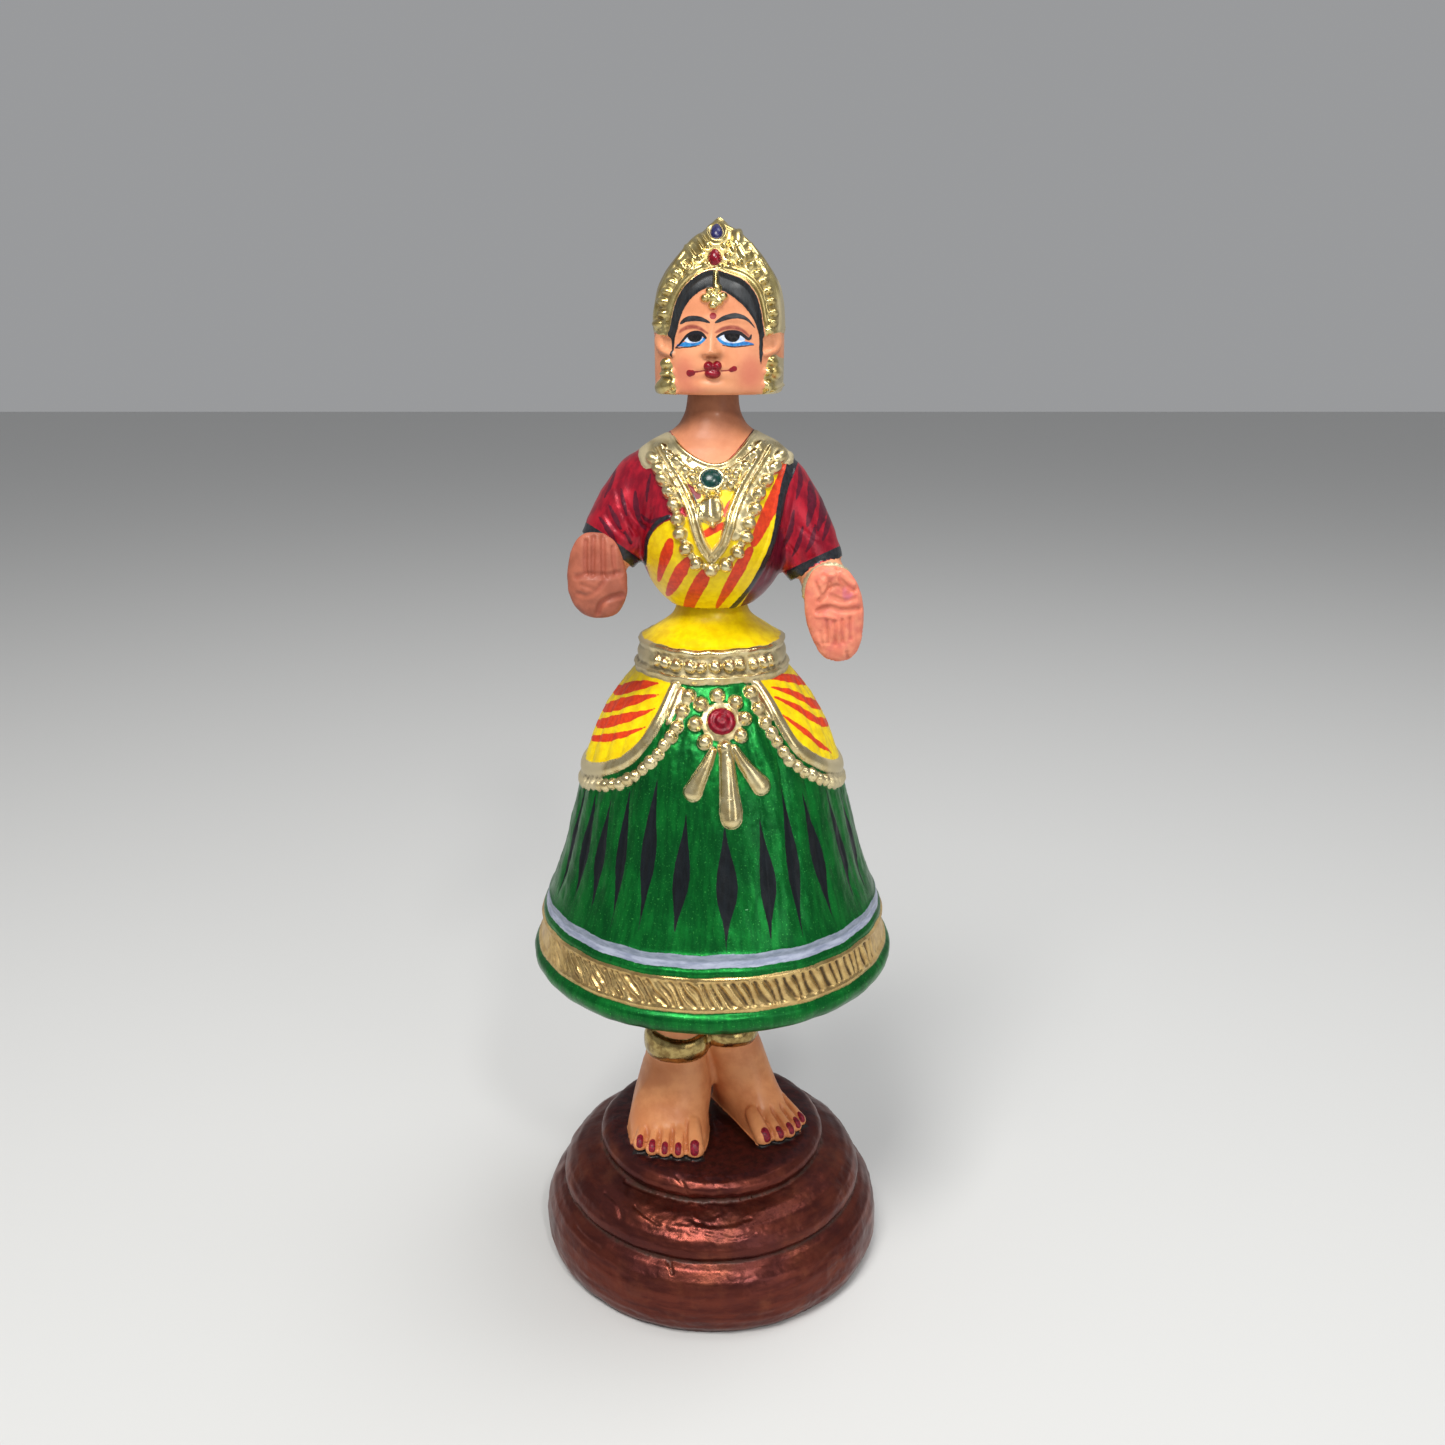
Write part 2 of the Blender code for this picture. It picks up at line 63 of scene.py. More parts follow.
class Smooth:
    """Monotone cubic through (x, y) rows."""

    def __init__(self, rows):
        rows = sorted(rows)
        self.x = np.array([r[0] for r in rows], float)
        self.y = np.array([r[1] for r in rows], float)
        h = np.diff(self.x)
        d = np.diff(self.y) / h
        m = np.zeros(len(self.x))
        m[0], m[-1] = d[0], d[-1]
        for i in range(1, len(m) - 1):
            if d[i - 1] * d[i] > 0:
                w1, w2 = 2 * h[i] + h[i - 1], h[i] + 2 * h[i - 1]
                m[i] = (w1 + w2) / (w1 / d[i - 1] + w2 / d[i])
        self.m = m

    def __call__(self, t):
        t = np.clip(np.asarray(t, float), self.x[0], self.x[-1])
        i = np.clip(np.searchsorted(self.x, t, side="right") - 1, 0, len(self.x) - 2)
        h = self.x[i + 1] - self.x[i]
        s = (t - self.x[i]) / h
        return ((2 * s ** 3 - 3 * s ** 2 + 1) * self.y[i] + (s ** 3 - 2 * s ** 2 + s) * h * self.m[i]
                + (-2 * s ** 3 + 3 * s ** 2) * self.y[i + 1] + (s ** 3 - s ** 2) * h * self.m[i + 1])


def step(a, b, x):
    t = np.clip((x - a) / (b - a), 0, 1)
    return t * t * (3 - 2 * t)


def smin(a, b, k):
    h = np.clip(0.5 + 0.5 * (b - a) / k, 0, 1)
    return b + (a - b) * h - k * h * (1 - h)


def chart(P, u0=0.0, v0=0.0, zoom=1.0):
    """Where resting points fall on the front chart, as an (n, 2) array."""
    dy, dz = P[:, 1] - CAM_Y, P[:, 2] - CAM_Z
    deep = dy * math.cos(CAM_TILT) - dz * math.sin(CAM_TILT)
    high = dy * math.sin(CAM_TILT) + dz * math.cos(CAM_TILT)
    u = CHART_C + CHART_F * (P[:, 0] - CAM_X) / deep
    v = CHART_C - CHART_F * high / deep
    return np.stack([(u - u0) * zoom, (v - v0) * zoom], 1)


def facing(P, N):
    """1 where the surface looks straight at the chart's viewpoint, 0 and less from its edge on."""
    eye = np.array([CAM_X, CAM_Y, CAM_Z]) - P
    eye /= np.linalg.norm(eye, axis=1)[:, None]
    return (N * eye).sum(1)


def stroke(Q, pts, radii):
    """Share of a tapering line's half width, 0 on it and 1 at its edge, and the distance inside its edge."""
    pts = np.asarray(pts, float)
    radii = np.broadcast_to(np.asarray(radii, float), (len(pts),))
    n = len(Q)
    share, inside = np.full(n, 9.0), np.full(n, -9.0 * radii.max())
    reach = 3.0 * radii.max()
    near = np.nonzero(((Q > pts.min(0) - reach) & (Q < pts.max(0) + reach)).all(1))[0]
    if not len(near):
        return share, inside
    q = Q[near]
    best, deep = np.full(len(q), 9.0), np.full(len(q), -9.0 * radii.max())
    pairs = list(zip(pts[:-1], pts[1:], radii[:-1], radii[1:])) if len(pts) > 1 else [(pts[0], pts[0], radii[0], radii[0])]
    for a, b, ra, rb in pairs:
        d = b - a
        t = np.clip(((q - a) @ d) / max(d @ d, 1e-12), 0, 1)
        gap = np.linalg.norm(q - (a + t[:, None] * d), axis=1)
        r = ra + (rb - ra) * t
        best = np.minimum(best, gap / r)
        deep = np.maximum(deep, r - gap)
    share[near], inside[near] = best, deep
    return share, inside


def spots(Q, centres, radii):
    """stroke() for separate round or oval spots; a radius may be (wide, high)."""
    share, inside = np.full(len(Q), 9.0), np.full(len(Q), -1e3)
    for i, c in enumerate(centres):
        r = radii[i] if isinstance(radii, (list, tuple)) else radii
        rx, ry = r if isinstance(r, (list, tuple)) else (r, r)
        big = max(rx, ry)
        c = np.asarray(c, float)
        near = np.nonzero((np.abs(Q - c) < 3 * big).all(1))[0]
        if not len(near):
            continue
        d = Q[near] - c
        if Q.shape[1] == 2:
            q = np.hypot(d[:, 0] / rx, d[:, 1] / ry)
        else:
            q = np.linalg.norm(d, axis=1) / rx
        share[near] = np.minimum(share[near], q)
        inside[near] = np.maximum(inside[near], (1 - q) * min(rx, ry))
    return share, inside


def polygon(Q, pts):
    """Distance inside a closed outline, negative outside."""
    pts = np.asarray(pts, float)
    n = len(Q)
    best = np.full(n, 1e9)
    odd = np.zeros(n, bool)
    for a, b in zip(pts, np.roll(pts, -1, 0)):
        d = b - a
        w = Q - a
        t = np.clip((w @ d) / max(d @ d, 1e-12), 0, 1)
        e = w - t[:, None] * d
        best = np.minimum(best, (e * e).sum(1))
        up = (a[1] <= Q[:, 1]) != (b[1] <= Q[:, 1])
        if abs(d[1]) > 1e-12:
            odd ^= up & (Q[:, 0] < a[0] + (Q[:, 1] - a[1]) * d[0] / d[1])
    return np.where(odd, 1, -1) * np.sqrt(best)


def rounded(pts, closed=False, times=2):
    """Corner cutting, so that a short list of points gives a flowing line."""
    p = np.asarray(pts, float)
    for _ in range(times):
        a, b = (p, np.roll(p, -1, 0)) if closed else (p[:-1], p[1:])
        cut = np.stack([a * 0.75 + b * 0.25, a * 0.25 + b * 0.75], 1).reshape(-1, p.shape[1])
        p = cut if closed else np.vstack([p[:1], cut, p[-1:]])
    return p


def brush(Q, pts, widths, times=2):
    """Distance inside a flowing brush stroke whose half widths are spread evenly along it."""
    line = rounded(pts, times=times)
    w = np.interp(np.linspace(0, 1, len(line)), np.linspace(0, 1, len(widths)), widths)
    return stroke(Q, line, w)[1]


def lattice(i, j, k, seed):
    h = (i * 374761393 + j * 668265263 + k * 1442695041 + seed * 97531) & 0xFFFFFFFF
    h = ((h ^ (h >> 13)) * 1274126177) & 0xFFFFFFFF
    return ((h ^ (h >> 16)) & 0xFFFF) / 65535.0 * 2 - 1


def lumps(P, size, seed):
    """Smooth value noise from -1 to 1 with features of that size in mm."""
    g = P / size
    f = np.floor(g).astype(np.int64)
    t = g - f
    t = t * t * (3 - 2 * t)
    out = np.zeros(len(P))
    for di in (0, 1):
        for dj in (0, 1):
            for dk in (0, 1):
                w = (t[:, 0] if di else 1 - t[:, 0]) * (t[:, 1] if dj else 1 - t[:, 1]) * (t[:, 2] if dk else 1 - t[:, 2])
                out += w * lattice(f[:, 0] + di, f[:, 1] + dj, f[:, 2] + dk, seed)
    return out


class Relief:
    """Height over the smooth body, in mm."""

    def __init__(self, n):
        self.h = np.zeros(n)

    def raise_to(self, share, height, power=0.5):
        self.h = np.maximum(self.h, height * np.clip(1 - share ** 2, 0, 1) ** power)

    def add(self, share, height, power=2.0):
        self.h = self.h + height * np.clip(1 - share ** 2, 0, 1) ** power


# ---------------------------------------------------------------- meshes

def tri_normals(V, T):
    a, b, c = V[T[:, 0]], V[T[:, 1]], V[T[:, 2]]
    return np.cross(b - a, c - a)


def normals(V, F):
    """Area weighted point normals of a triangle or quad mesh."""
    if F.shape[1] == 4:
        fn = np.cross(V[F[:, 2]] - V[F[:, 0]], V[F[:, 3]] - V[F[:, 1]])
    else:
        fn = tri_normals(V, F)
    N = np.zeros_like(V)
    for k in range(F.shape[1]):
        for ax in range(3):
            N[:, ax] += np.bincount(F[:, k], fn[:, ax], len(V))
    return N / np.maximum(np.linalg.norm(N, axis=1), 1e-12)[:, None]


def surface_net(F, lo, h):
    """Closed quads around the part of a sample grid that is below 0."""
    lo = np.asarray(lo, float)
    neg = F < 0
    count = np.zeros(tuple(s - 1 for s in F.shape), np.int8)
    for i in (0, 1):
        for j in (0, 1):
            for k in (0, 1):
                count += neg[i:F.shape[0] - 1 + i, j:F.shape[1] - 1 + j, k:F.shape[2] - 1 + k]
    active = (count > 0) & (count < 8)
    index = np.full(active.shape, -1, np.int64)
    n = int(active.sum())
    index[active] = np.arange(n)
    total, hits, quads = np.zeros((n, 3)), np.zeros(n), []
    for axis in range(3):
        cut = [slice(None)] * 3
        cut[axis] = slice(None, -1)
        a = F[tuple(cut)]
        cut[axis] = slice(1, None)
        b = F[tuple(cut)]
        at = np.argwhere((a < 0) != (b < 0))
        va, vb = a[tuple(at.T)], b[tuple(at.T)]
        pos = at.astype(float)
        pos[:, axis] += va / (va - vb)
        o1, o2 = (axis + 1) % 3, (axis + 2) % 3
        cells = []
        for d1, d2 in ((-1, -1), (0, -1), (0, 0), (-1, 0)):
            c = at.copy()
            c[:, o1] += d1
            c[:, o2] += d2
            cells.append(index[tuple(c.T)])
        for c in cells:
            for ax in range(3):
                total[:, ax] += np.bincount(c, pos[:, ax], n)
            hits += np.bincount(c, minlength=n)
        quad = np.stack(cells, 1)
        quad[va > 0] = quad[va > 0][:, ::-1]
        quads.append(quad)
    return lo + total / hits[:, None] * h, np.vstack(quads)


def split_quads(V, Q):
    """Triangles, each quad parted along its shorter diagonal."""
    short = np.linalg.norm(V[Q[:, 0]] - V[Q[:, 2]], axis=1) <= np.linalg.norm(V[Q[:, 1]] - V[Q[:, 3]], axis=1)
    a, b = Q[short], Q[~short]
    return np.vstack([a[:, [0, 1, 2]], a[:, [0, 2, 3]], b[:, [0, 1, 3]], b[:, [1, 2, 3]]])


def refine(V, T, wanted, rounds=3):
    """Halves the edges that are longer than wanted(middles), keeping the mesh closed."""
    for _ in range(rounds):
        E = np.sort(np.vstack([T[:, [0, 1]], T[:, [1, 2]], T[:, [2, 0]]]), 1)
        E, inv = np.unique(E, axis=0, return_inverse=True)
        inv = inv.reshape(3, -1).T
        length = np.linalg.norm(V[E[:, 0]] - V[E[:, 1]], axis=1)
        mid = (V[E[:, 0]] + V[E[:, 1]]) / 2
        cut = length > wanted(mid)
        if not cut.any():
            break
        longest = length[inv].argmax(1)
        for _ in range(12):
            need = cut[inv].any(1)
            more = inv[need, longest[need]]
            if cut[more].all():
                break
            cut[more] = True
        new = np.full(len(E), -1)
        new[cut] = len(V) + np.arange(cut.sum())
        V = np.vstack([V, mid[cut]])
        rows = np.arange(len(T))
        k = longest
        a, b, c = T[rows, k], T[rows, (k + 1) % 3], T[rows, (k + 2) % 3]
        m0, m1, m2 = new[inv[rows, k]], new[inv[rows, (k + 1) % 3]], new[inv[rows, (k + 2) % 3]]
        out = []
        none = m0 < 0
        out.append(np.stack([a, b, c], 1)[none])
        s = ~none & (m1 < 0) & (m2 < 0)
        out += [np.stack([a, m0, c], 1)[s], np.stack([m0, b, c], 1)[s]]
        s = ~none & (m1 >= 0) & (m2 < 0)
        out += [np.stack([a, m0, c], 1)[s], np.stack([m0, b, m1], 1)[s], np.stack([m0, m1, c], 1)[s]]
        s = ~none & (m1 < 0) & (m2 >= 0)
        out += [np.stack([m0, b, c], 1)[s], np.stack([a, m0, m2], 1)[s], np.stack([m0, c, m2], 1)[s]]
        s = ~none & (m1 >= 0) & (m2 >= 0)
        out += [np.stack([a, m0, m2], 1)[s], np.stack([m0, b, m1], 1)[s], np.stack([m1, c, m2], 1)[s],
                np.stack([m0, m1, m2], 1)[s]]
        T = np.vstack(out)
    return V, T


def relax(V, T, times, amount=0.5):
    """Evens out the points."""
    n = len(V)
    a = np.concatenate([T[:, 0], T[:, 1], T[:, 2]])
    b = np.concatenate([T[:, 1], T[:, 2], T[:, 0]])
    deg = np.bincount(a, minlength=n) + np.bincount(b, minlength=n)
    for _ in range(times):
        mean = np.stack([(np.bincount(a, V[b, ax], n) + np.bincount(b, V[a, ax], n)) for ax in range(3)], 1)
        V = V + amount * (mean / np.maximum(deg, 1)[:, None] - V)
    return V


def settle(V, field, times=2, most=0.5):
    """Moves points on to the surface where the field is 0."""
    e = 0.02
    for _ in range(times):
        f = field(V)
        g = np.stack([(field(V + e * np.eye(3)[ax]) - f) / e for ax in range(3)], 1)
        V = V - g * np.clip(f / np.maximum((g * g).sum(1), 0.05), -most, most)[:, None]
    return V


def sample(field, lo, hi, h):
    """The field on a grid, slice by slice."""
    axes = [np.arange(lo[i], hi[i] + h, h) for i in range(3)]
    out = np.empty([len(a) for a in axes], np.float32)
    X, Y = np.meshgrid(axes[0], axes[1], indexing="ij")
    flat = np.stack([X.ravel(), Y.ravel()], 1)
    for k in range(0, len(axes[2]), 8):
        zs = axes[2][k:k + 8]
        P = np.empty((len(flat) * len(zs), 3))
        P[:, 0] = np.repeat(flat[:, 0], len(zs))
        P[:, 1] = np.repeat(flat[:, 1], len(zs))
        P[:, 2] = np.tile(zs, len(flat))
        out[:, :, k:k + 8] = field(P).reshape(len(axes[0]), len(axes[1]), len(zs))
    return out


def to_piece(name, V, F, fields, material, uv=None):
    """Mesh object from points in mm, faces of three or four corners, and point attributes."""
    mesh = bpy.data.meshes.new(name)
    if not isinstance(F, (list, tuple)):
        F = [F]
    loops = np.concatenate([f.ravel() for f in F]).astype(np.int32)
    sizes = np.concatenate([np.full(len(f), f.shape[1]) for f in F])
    starts = np.concatenate([[0], np.cumsum(sizes)[:-1]]).astype(np.int32)
    mesh.vertices.add(len(V))
    mesh.vertices.foreach_set("co", (V * MM).astype(np.float32).ravel())
    mesh.loops.add(len(loops))
    mesh.loops.foreach_set("vertex_index", loops)
    mesh.polygons.add(len(sizes))
    mesh.polygons.foreach_set("loop_start", starts)
    mesh.update(calc_edges=True)
    mesh.polygons.foreach_set("use_smooth", np.ones(len(sizes), bool))
    for key, value in fields.items():
        value = np.asarray(value, np.float32)
        if value.ndim == 2:
            mesh.attributes.new(key, "FLOAT_VECTOR", "POINT").data.foreach_set("vector", value.ravel())
        else:
            mesh.attributes.new(key, "FLOAT", "POINT").data.foreach_set("value", value)
    if uv is not None:
        layer = mesh.uv_layers.new(name="OFBake", do_init=False)
        layer.uv.foreach_set("vector", np.asarray(uv, np.float32).ravel())
    mesh.materials.append(material)
    mesh.validate()
    ob = bpy.data.objects.new(name, mesh)
    bpy.context.scene.collection.objects.link(ob)
    return ob


def lathe_grid(rows, cols):
    """Quads and end fans for rows of cols points each, between two single end points; outward for rows that go down
    while columns go from -Y towards +X."""
    i = np.arange(rows - 1)[:, None] * cols
    j = np.arange(cols)[None, :]
    j2 = (j + 1) % cols
    base = 1
    quads = np.stack([base + i + j, base + i + cols + j, base + i + cols + j2, base + i + j2], -1).reshape(-1, 4)
    last = base + rows * cols
    k = np.arange(cols)
    k2 = (k + 1) % cols
    top = np.stack([np.zeros(cols, int), base + k, base + k2], 1)
    low = base + (rows - 1) * cols
    bottom = np.stack([np.full(cols, last), low + k2, low + k], 1)
    return quads, top, bottom


# ---------------------------------------------------------------- material

def srgb(r, g, b):
    def lin(c):
        c /= 255.0
        return c / 12.92 if c <= 0.04045 else ((c + 0.055) / 1.055) ** 2.4
    return (lin(r), lin(g), lin(b), 1.0)


class Paint:
    """Layers of brushed paint over a papier-mache body."""

    def __init__(self, name, color, rough, metal):
        self.mat = bpy.data.materials.new(name)
        self.mat.use_nodes = True
        self.tree = self.mat.node_tree
        self.tree.nodes.clear()
        self.out = self.tree.nodes.new("ShaderNodeOutputMaterial")
        self.bsdf = self.tree.nodes.new("ShaderNodeBsdfPrincipled")
        self.tree.links.new(self.bsdf.outputs[0], self.out.inputs["Surface"])
        self.place = self.tree.nodes.new("ShaderNodeTexCoord").outputs["Object"]
        self.cache = {}
        self.color, self.rough, self.metal = color, rough, metal

    def link(self, value, socket):
        if isinstance(value, bpy.types.NodeSocket):
            self.tree.links.new(value, socket)
        else:
            socket.default_value = value

    def attr(self, name, vector=False):
        key = ("attr", name)
        if key not in self.cache:
            n = self.tree.nodes.new("ShaderNodeAttribute")
            n.attribute_name = name
            self.cache[key] = n
        return self.cache[key].outputs["Vector" if vector else "Fac"]

    def noise(self, size, detail=3.0, rough=0.55, stretch=(1, 1, 1), where=None, warp=0.0, seed=0.0):
        """Noise from 0 to 1 with features of about that size in mm; stretch makes them longer along an axis."""
        key = ("noise", size, detail, rough, stretch, where, warp, seed)
        if key in self.cache:
            return self.cache[key]
        m = self.tree.nodes.new("ShaderNodeMapping")
        unit = 1.0 if where else 1000.0
        m.inputs["Scale"].default_value = tuple(unit / (size * s) for s in stretch)
        m.inputs["Location"].default_value = (seed, seed * 0.7, seed * 1.3)
        self.tree.links.new(self.attr(where, True) if where else self.place, m.inputs["Vector"])
        n = self.tree.nodes.new("ShaderNodeTexNoise")
        n.inputs["Scale"].default_value = 1.0
        n.inputs["Detail"].default_value = detail
        n.inputs["Roughness"].default_value = rough
        n.inputs["Distortion"].default_value = warp
        self.tree.links.new(m.outputs[0], n.inputs["Vector"])
        self.cache[key] = n.outputs["Fac"]
        return n.outputs["Fac"]

    def math(self, op, a, b=0.0, c=None, clamp=False):
        n = self.tree.nodes.new("ShaderNodeMath")
        n.operation = op
        n.use_clamp = clamp
        self.link(a, n.inputs[0])
        self.link(b, n.inputs[1])
        if c is not None:
            self.link(c, n.inputs[2])
        return n.outputs[0]

    def span(self, value, a, b, lo=0.0, hi=1.0, smooth=True):
        n = self.tree.nodes.new("ShaderNodeMapRange")
        n.interpolation_type = "SMOOTHSTEP" if smooth else "LINEAR"
        n.clamp = True if not smooth else n.clamp
        self.link(value, n.inputs["Value"])
        n.inputs["From Min"].default_value = a
        n.inputs["From Max"].default_value = b
        n.inputs["To Min"].default_value = lo
        n.inputs["To Max"].default_value = hi
        return n.outputs["Result"]

    def mix(self, fac, a, b, blend="MIX"):
        n = self.tree.nodes.new("ShaderNodeMix")
        n.data_type = "RGBA"
        n.blend_type = blend
        self.link(fac, n.inputs[0])
        self.link(a, n.inputs[6])
        self.link(b, n.inputs[7])
        return n.outputs[2]

    def mixf(self, fac, a, b):
        n = self.tree.nodes.new("ShaderNodeMix")
        n.data_type = "FLOAT"
        self.link(fac, n.inputs[0])
        self.link(a, n.inputs[2])
        self.link(b, n.inputs[3])
        return n.outputs[0]

    def tone(self, a, b, size, stretch=(1, 1, 1), where=None, lo=0.35, hi=0.65, seed=0.0, detail=4.0, warp=0.0):
        """Two shades of one paint, parted by brush marks."""
        n = self.noise(size, detail, 0.6, stretch, where, warp, seed)
        return self.mix(self.span(n, lo, hi), a, b)

    def edge(self, name, soft=0.08, wobble=0.25, size=1.2, shift=0.0):
        """0 outside and 1 inside the painted area whose distance is in the attribute; the edge wanders by wobble mm."""
        n = self.noise(size, 3.0, 0.5)
        d = self.math("MULTIPLY_ADD", n, 2 * wobble, shift - wobble)
        d = self.math("ADD", d, self.attr(name))
        return self.span(d, -soft, soft)

    def layer(self, mask, color, rough, metal):
        self.color = self.mix(mask, self.color, color)
        self.rough = self.mixf(mask, self.rough, rough)
        self.metal = self.mixf(mask, self.metal, metal)

    def grain(self, levels):
        """Bump from (size mm, height mm) noise levels; returns the normal."""
        total = None
        for size, height in levels:
            n = self.math("MULTIPLY", self.noise(size, 3.0, 0.6, seed=size), height * MM)
            total = n if total is None else self.math("ADD", total, n)
        b = self.tree.nodes.new("ShaderNodeBump")
        b.inputs["Strength"].default_value = 1.0
        b.inputs["Distance"].default_value = 1.0
        self.link(total, b.inputs["Height"])
        return b.outputs["Normal"]

    def done(self, grain, coat=0.0, coat_rough=0.2, ior=1.5):
        """Painted shade and grime in the hollows, uneven gloss, then the shader."""
        # painted shade with grime: darker, browner and less glossy the deeper a point lies in a hollow
        shade_and_grime = self.span(self.attr("hollow"), 0.15, 0.9)
        spread = self.span(self.noise(2.2, 4.0, 0.6, seed=3.0), 0.25, 0.6)
        self.color = self.mix(self.math("MULTIPLY", shade_and_grime, self.math("MULTIPLY", spread, 0.75)), self.color, srgb(44, 33, 20))
        self.rough = self.mixf(self.math("MULTIPLY", shade_and_grime, 0.6), self.rough, 0.6)
        self.metal = self.mixf(self.math("MULTIPLY", shade_and_grime, 0.8), self.metal, 0.0)
        uneven = self.span(self.noise(5.0, 5.0, 0.6, seed=8.0), 0.3, 0.7, -0.05, 0.07)
        self.rough = self.math("ADD", self.rough, uneven, clamp=True)
        self.link(self.color, self.bsdf.inputs["Base Color"])
        self.link(self.rough, self.bsdf.inputs["Roughness"])
        self.link(self.metal, self.bsdf.inputs["Metallic"])
        self.link(self.grain(grain), self.bsdf.inputs["Normal"])
        self.bsdf.inputs["Coat Weight"].default_value = coat
        self.bsdf.inputs["Coat Roughness"].default_value = coat_rough
        self.bsdf.inputs["IOR"].default_value = ior
        return self.mat


# GOLD_DULL_GLARE: pale gold with a duller finish for where the gold turns to the sides, a painted reflection of the
# glancing view
GOLD_A, GOLD_B, GOLD_DULL_GLARE = srgb(230, 214, 166), srgb(206, 184, 130), srgb(206, 192, 154)
YELLOW_A, YELLOW_B = srgb(242, 214, 2), srgb(226, 192, 0)
ORANGE_A, ORANGE_B = srgb(222, 66, 22), srgb(196, 50, 20)
CRIMSON_A, CRIMSON_B = srgb(176, 22, 44), srgb(132, 12, 36)
WINE = srgb(78, 14, 34)
BLACK_A, BLACK_B = srgb(20, 22, 26), srgb(38, 40, 46)
SKIN_A, SKIN_B = srgb(228, 156, 114), srgb(212, 136, 96)


def gold(p):
    return p.tone(GOLD_A, GOLD_B, 3.0, seed=5.0)


def hollows(V, F, N, span_mm):
    """How deep each point lies below its surroundings, from 0 to 1."""
    T = F if F.shape[1] == 3 else np.vstack([F[:, [0, 1, 2]], F[:, [0, 2, 3]]])
    W = V
    a = np.concatenate([T[:, 0], T[:, 1], T[:, 2]])
    b = np.concatenate([T[:, 1], T[:, 2], T[:, 0]])
    n = len(V)
    deg = np.maximum(np.bincount(a, minlength=n) + np.bincount(b, minlength=n), 1)
    for _ in range(6):
        W = np.stack([(np.bincount(a, W[b, ax], n) + np.bincount(b, W[a, ax], n)) for ax in range(3)], 1) / deg[:, None]
    return np.clip(((W - V) * N).sum(1) / span_mm, 0, 1)


# ---------------------------------------------------------------- head

HEAD_ROWS = (      # height, half width, front depth, back depth
    (223.0, 13.5, 11.4, 11.8), (223.5, 14.1, 12.1, 12.4), (224.6, 14.4, 12.5, 12.8), (229.0, 14.5, 13.0, 13.2),
    (235.0, 14.5, 13.2, 13.6), (241.0, 14.2, 13.0, 13.4), (245.0, 13.5, 12.4, 12.8), (248.4, 11.9, 11.2, 11.6),
    (251.4, 9.5, 9.4, 9.9), (254.4, 6.4, 7.2, 7.4), (257.2, 3.1, 4.5, 3.4), (259.2, 1.1, 2.5, -0.4), (260.0, 0.0, 1.6, -1.6),
)


def head_shape():
    half = Smooth([(r[0], r[1]) for r in HEAD_ROWS])
    front = Smooth([(r[0], r[2]) for r in HEAD_ROWS])
    back = Smooth([(r[0], r[3]) for r in HEAD_ROWS])
    mid = Smooth([(223.0, 0.0), (248.0, 0.0), (257.2, -0.8), (260.0, -1.6)])
    return half, front, back, mid


def oval_rows(z, half, front, back, mid, axis_x, ang, power):
    """Points of squared ovals at heights z and angles ang (0 is -Y, towards +X)."""
    s, c = np.sin(ang)[None, :], np.cos(ang)[None, :]
    h = np.maximum(half, 1e-4)[:, None]
    d = np.where(c > 0, np.maximum(front + mid, 1e-4)[:, None], np.maximum(back - mid, 1e-4)[:, None])
    p = np.asarray(power)[:, None] if np.ndim(power) else power
    r = (np.abs(s / h) ** p + np.abs(c / d) ** p) ** (-1 / p)
    return np.stack([axis_x + r * s, mid[:, None] - r * c, np.repeat(z[:, None], len(ang), 1)], -1)


def spaced_angles(front_n, back_n):
    """Columns packed closer over the front half; the joint columns are shared."""
    f = np.linspace(-math.pi / 2, math.pi / 2, front_n, endpoint=False)
    b = np.linspace(math.pi / 2, 3 * math.pi / 2, back_n, endpoint=False)
    return np.concatenate([f, b])


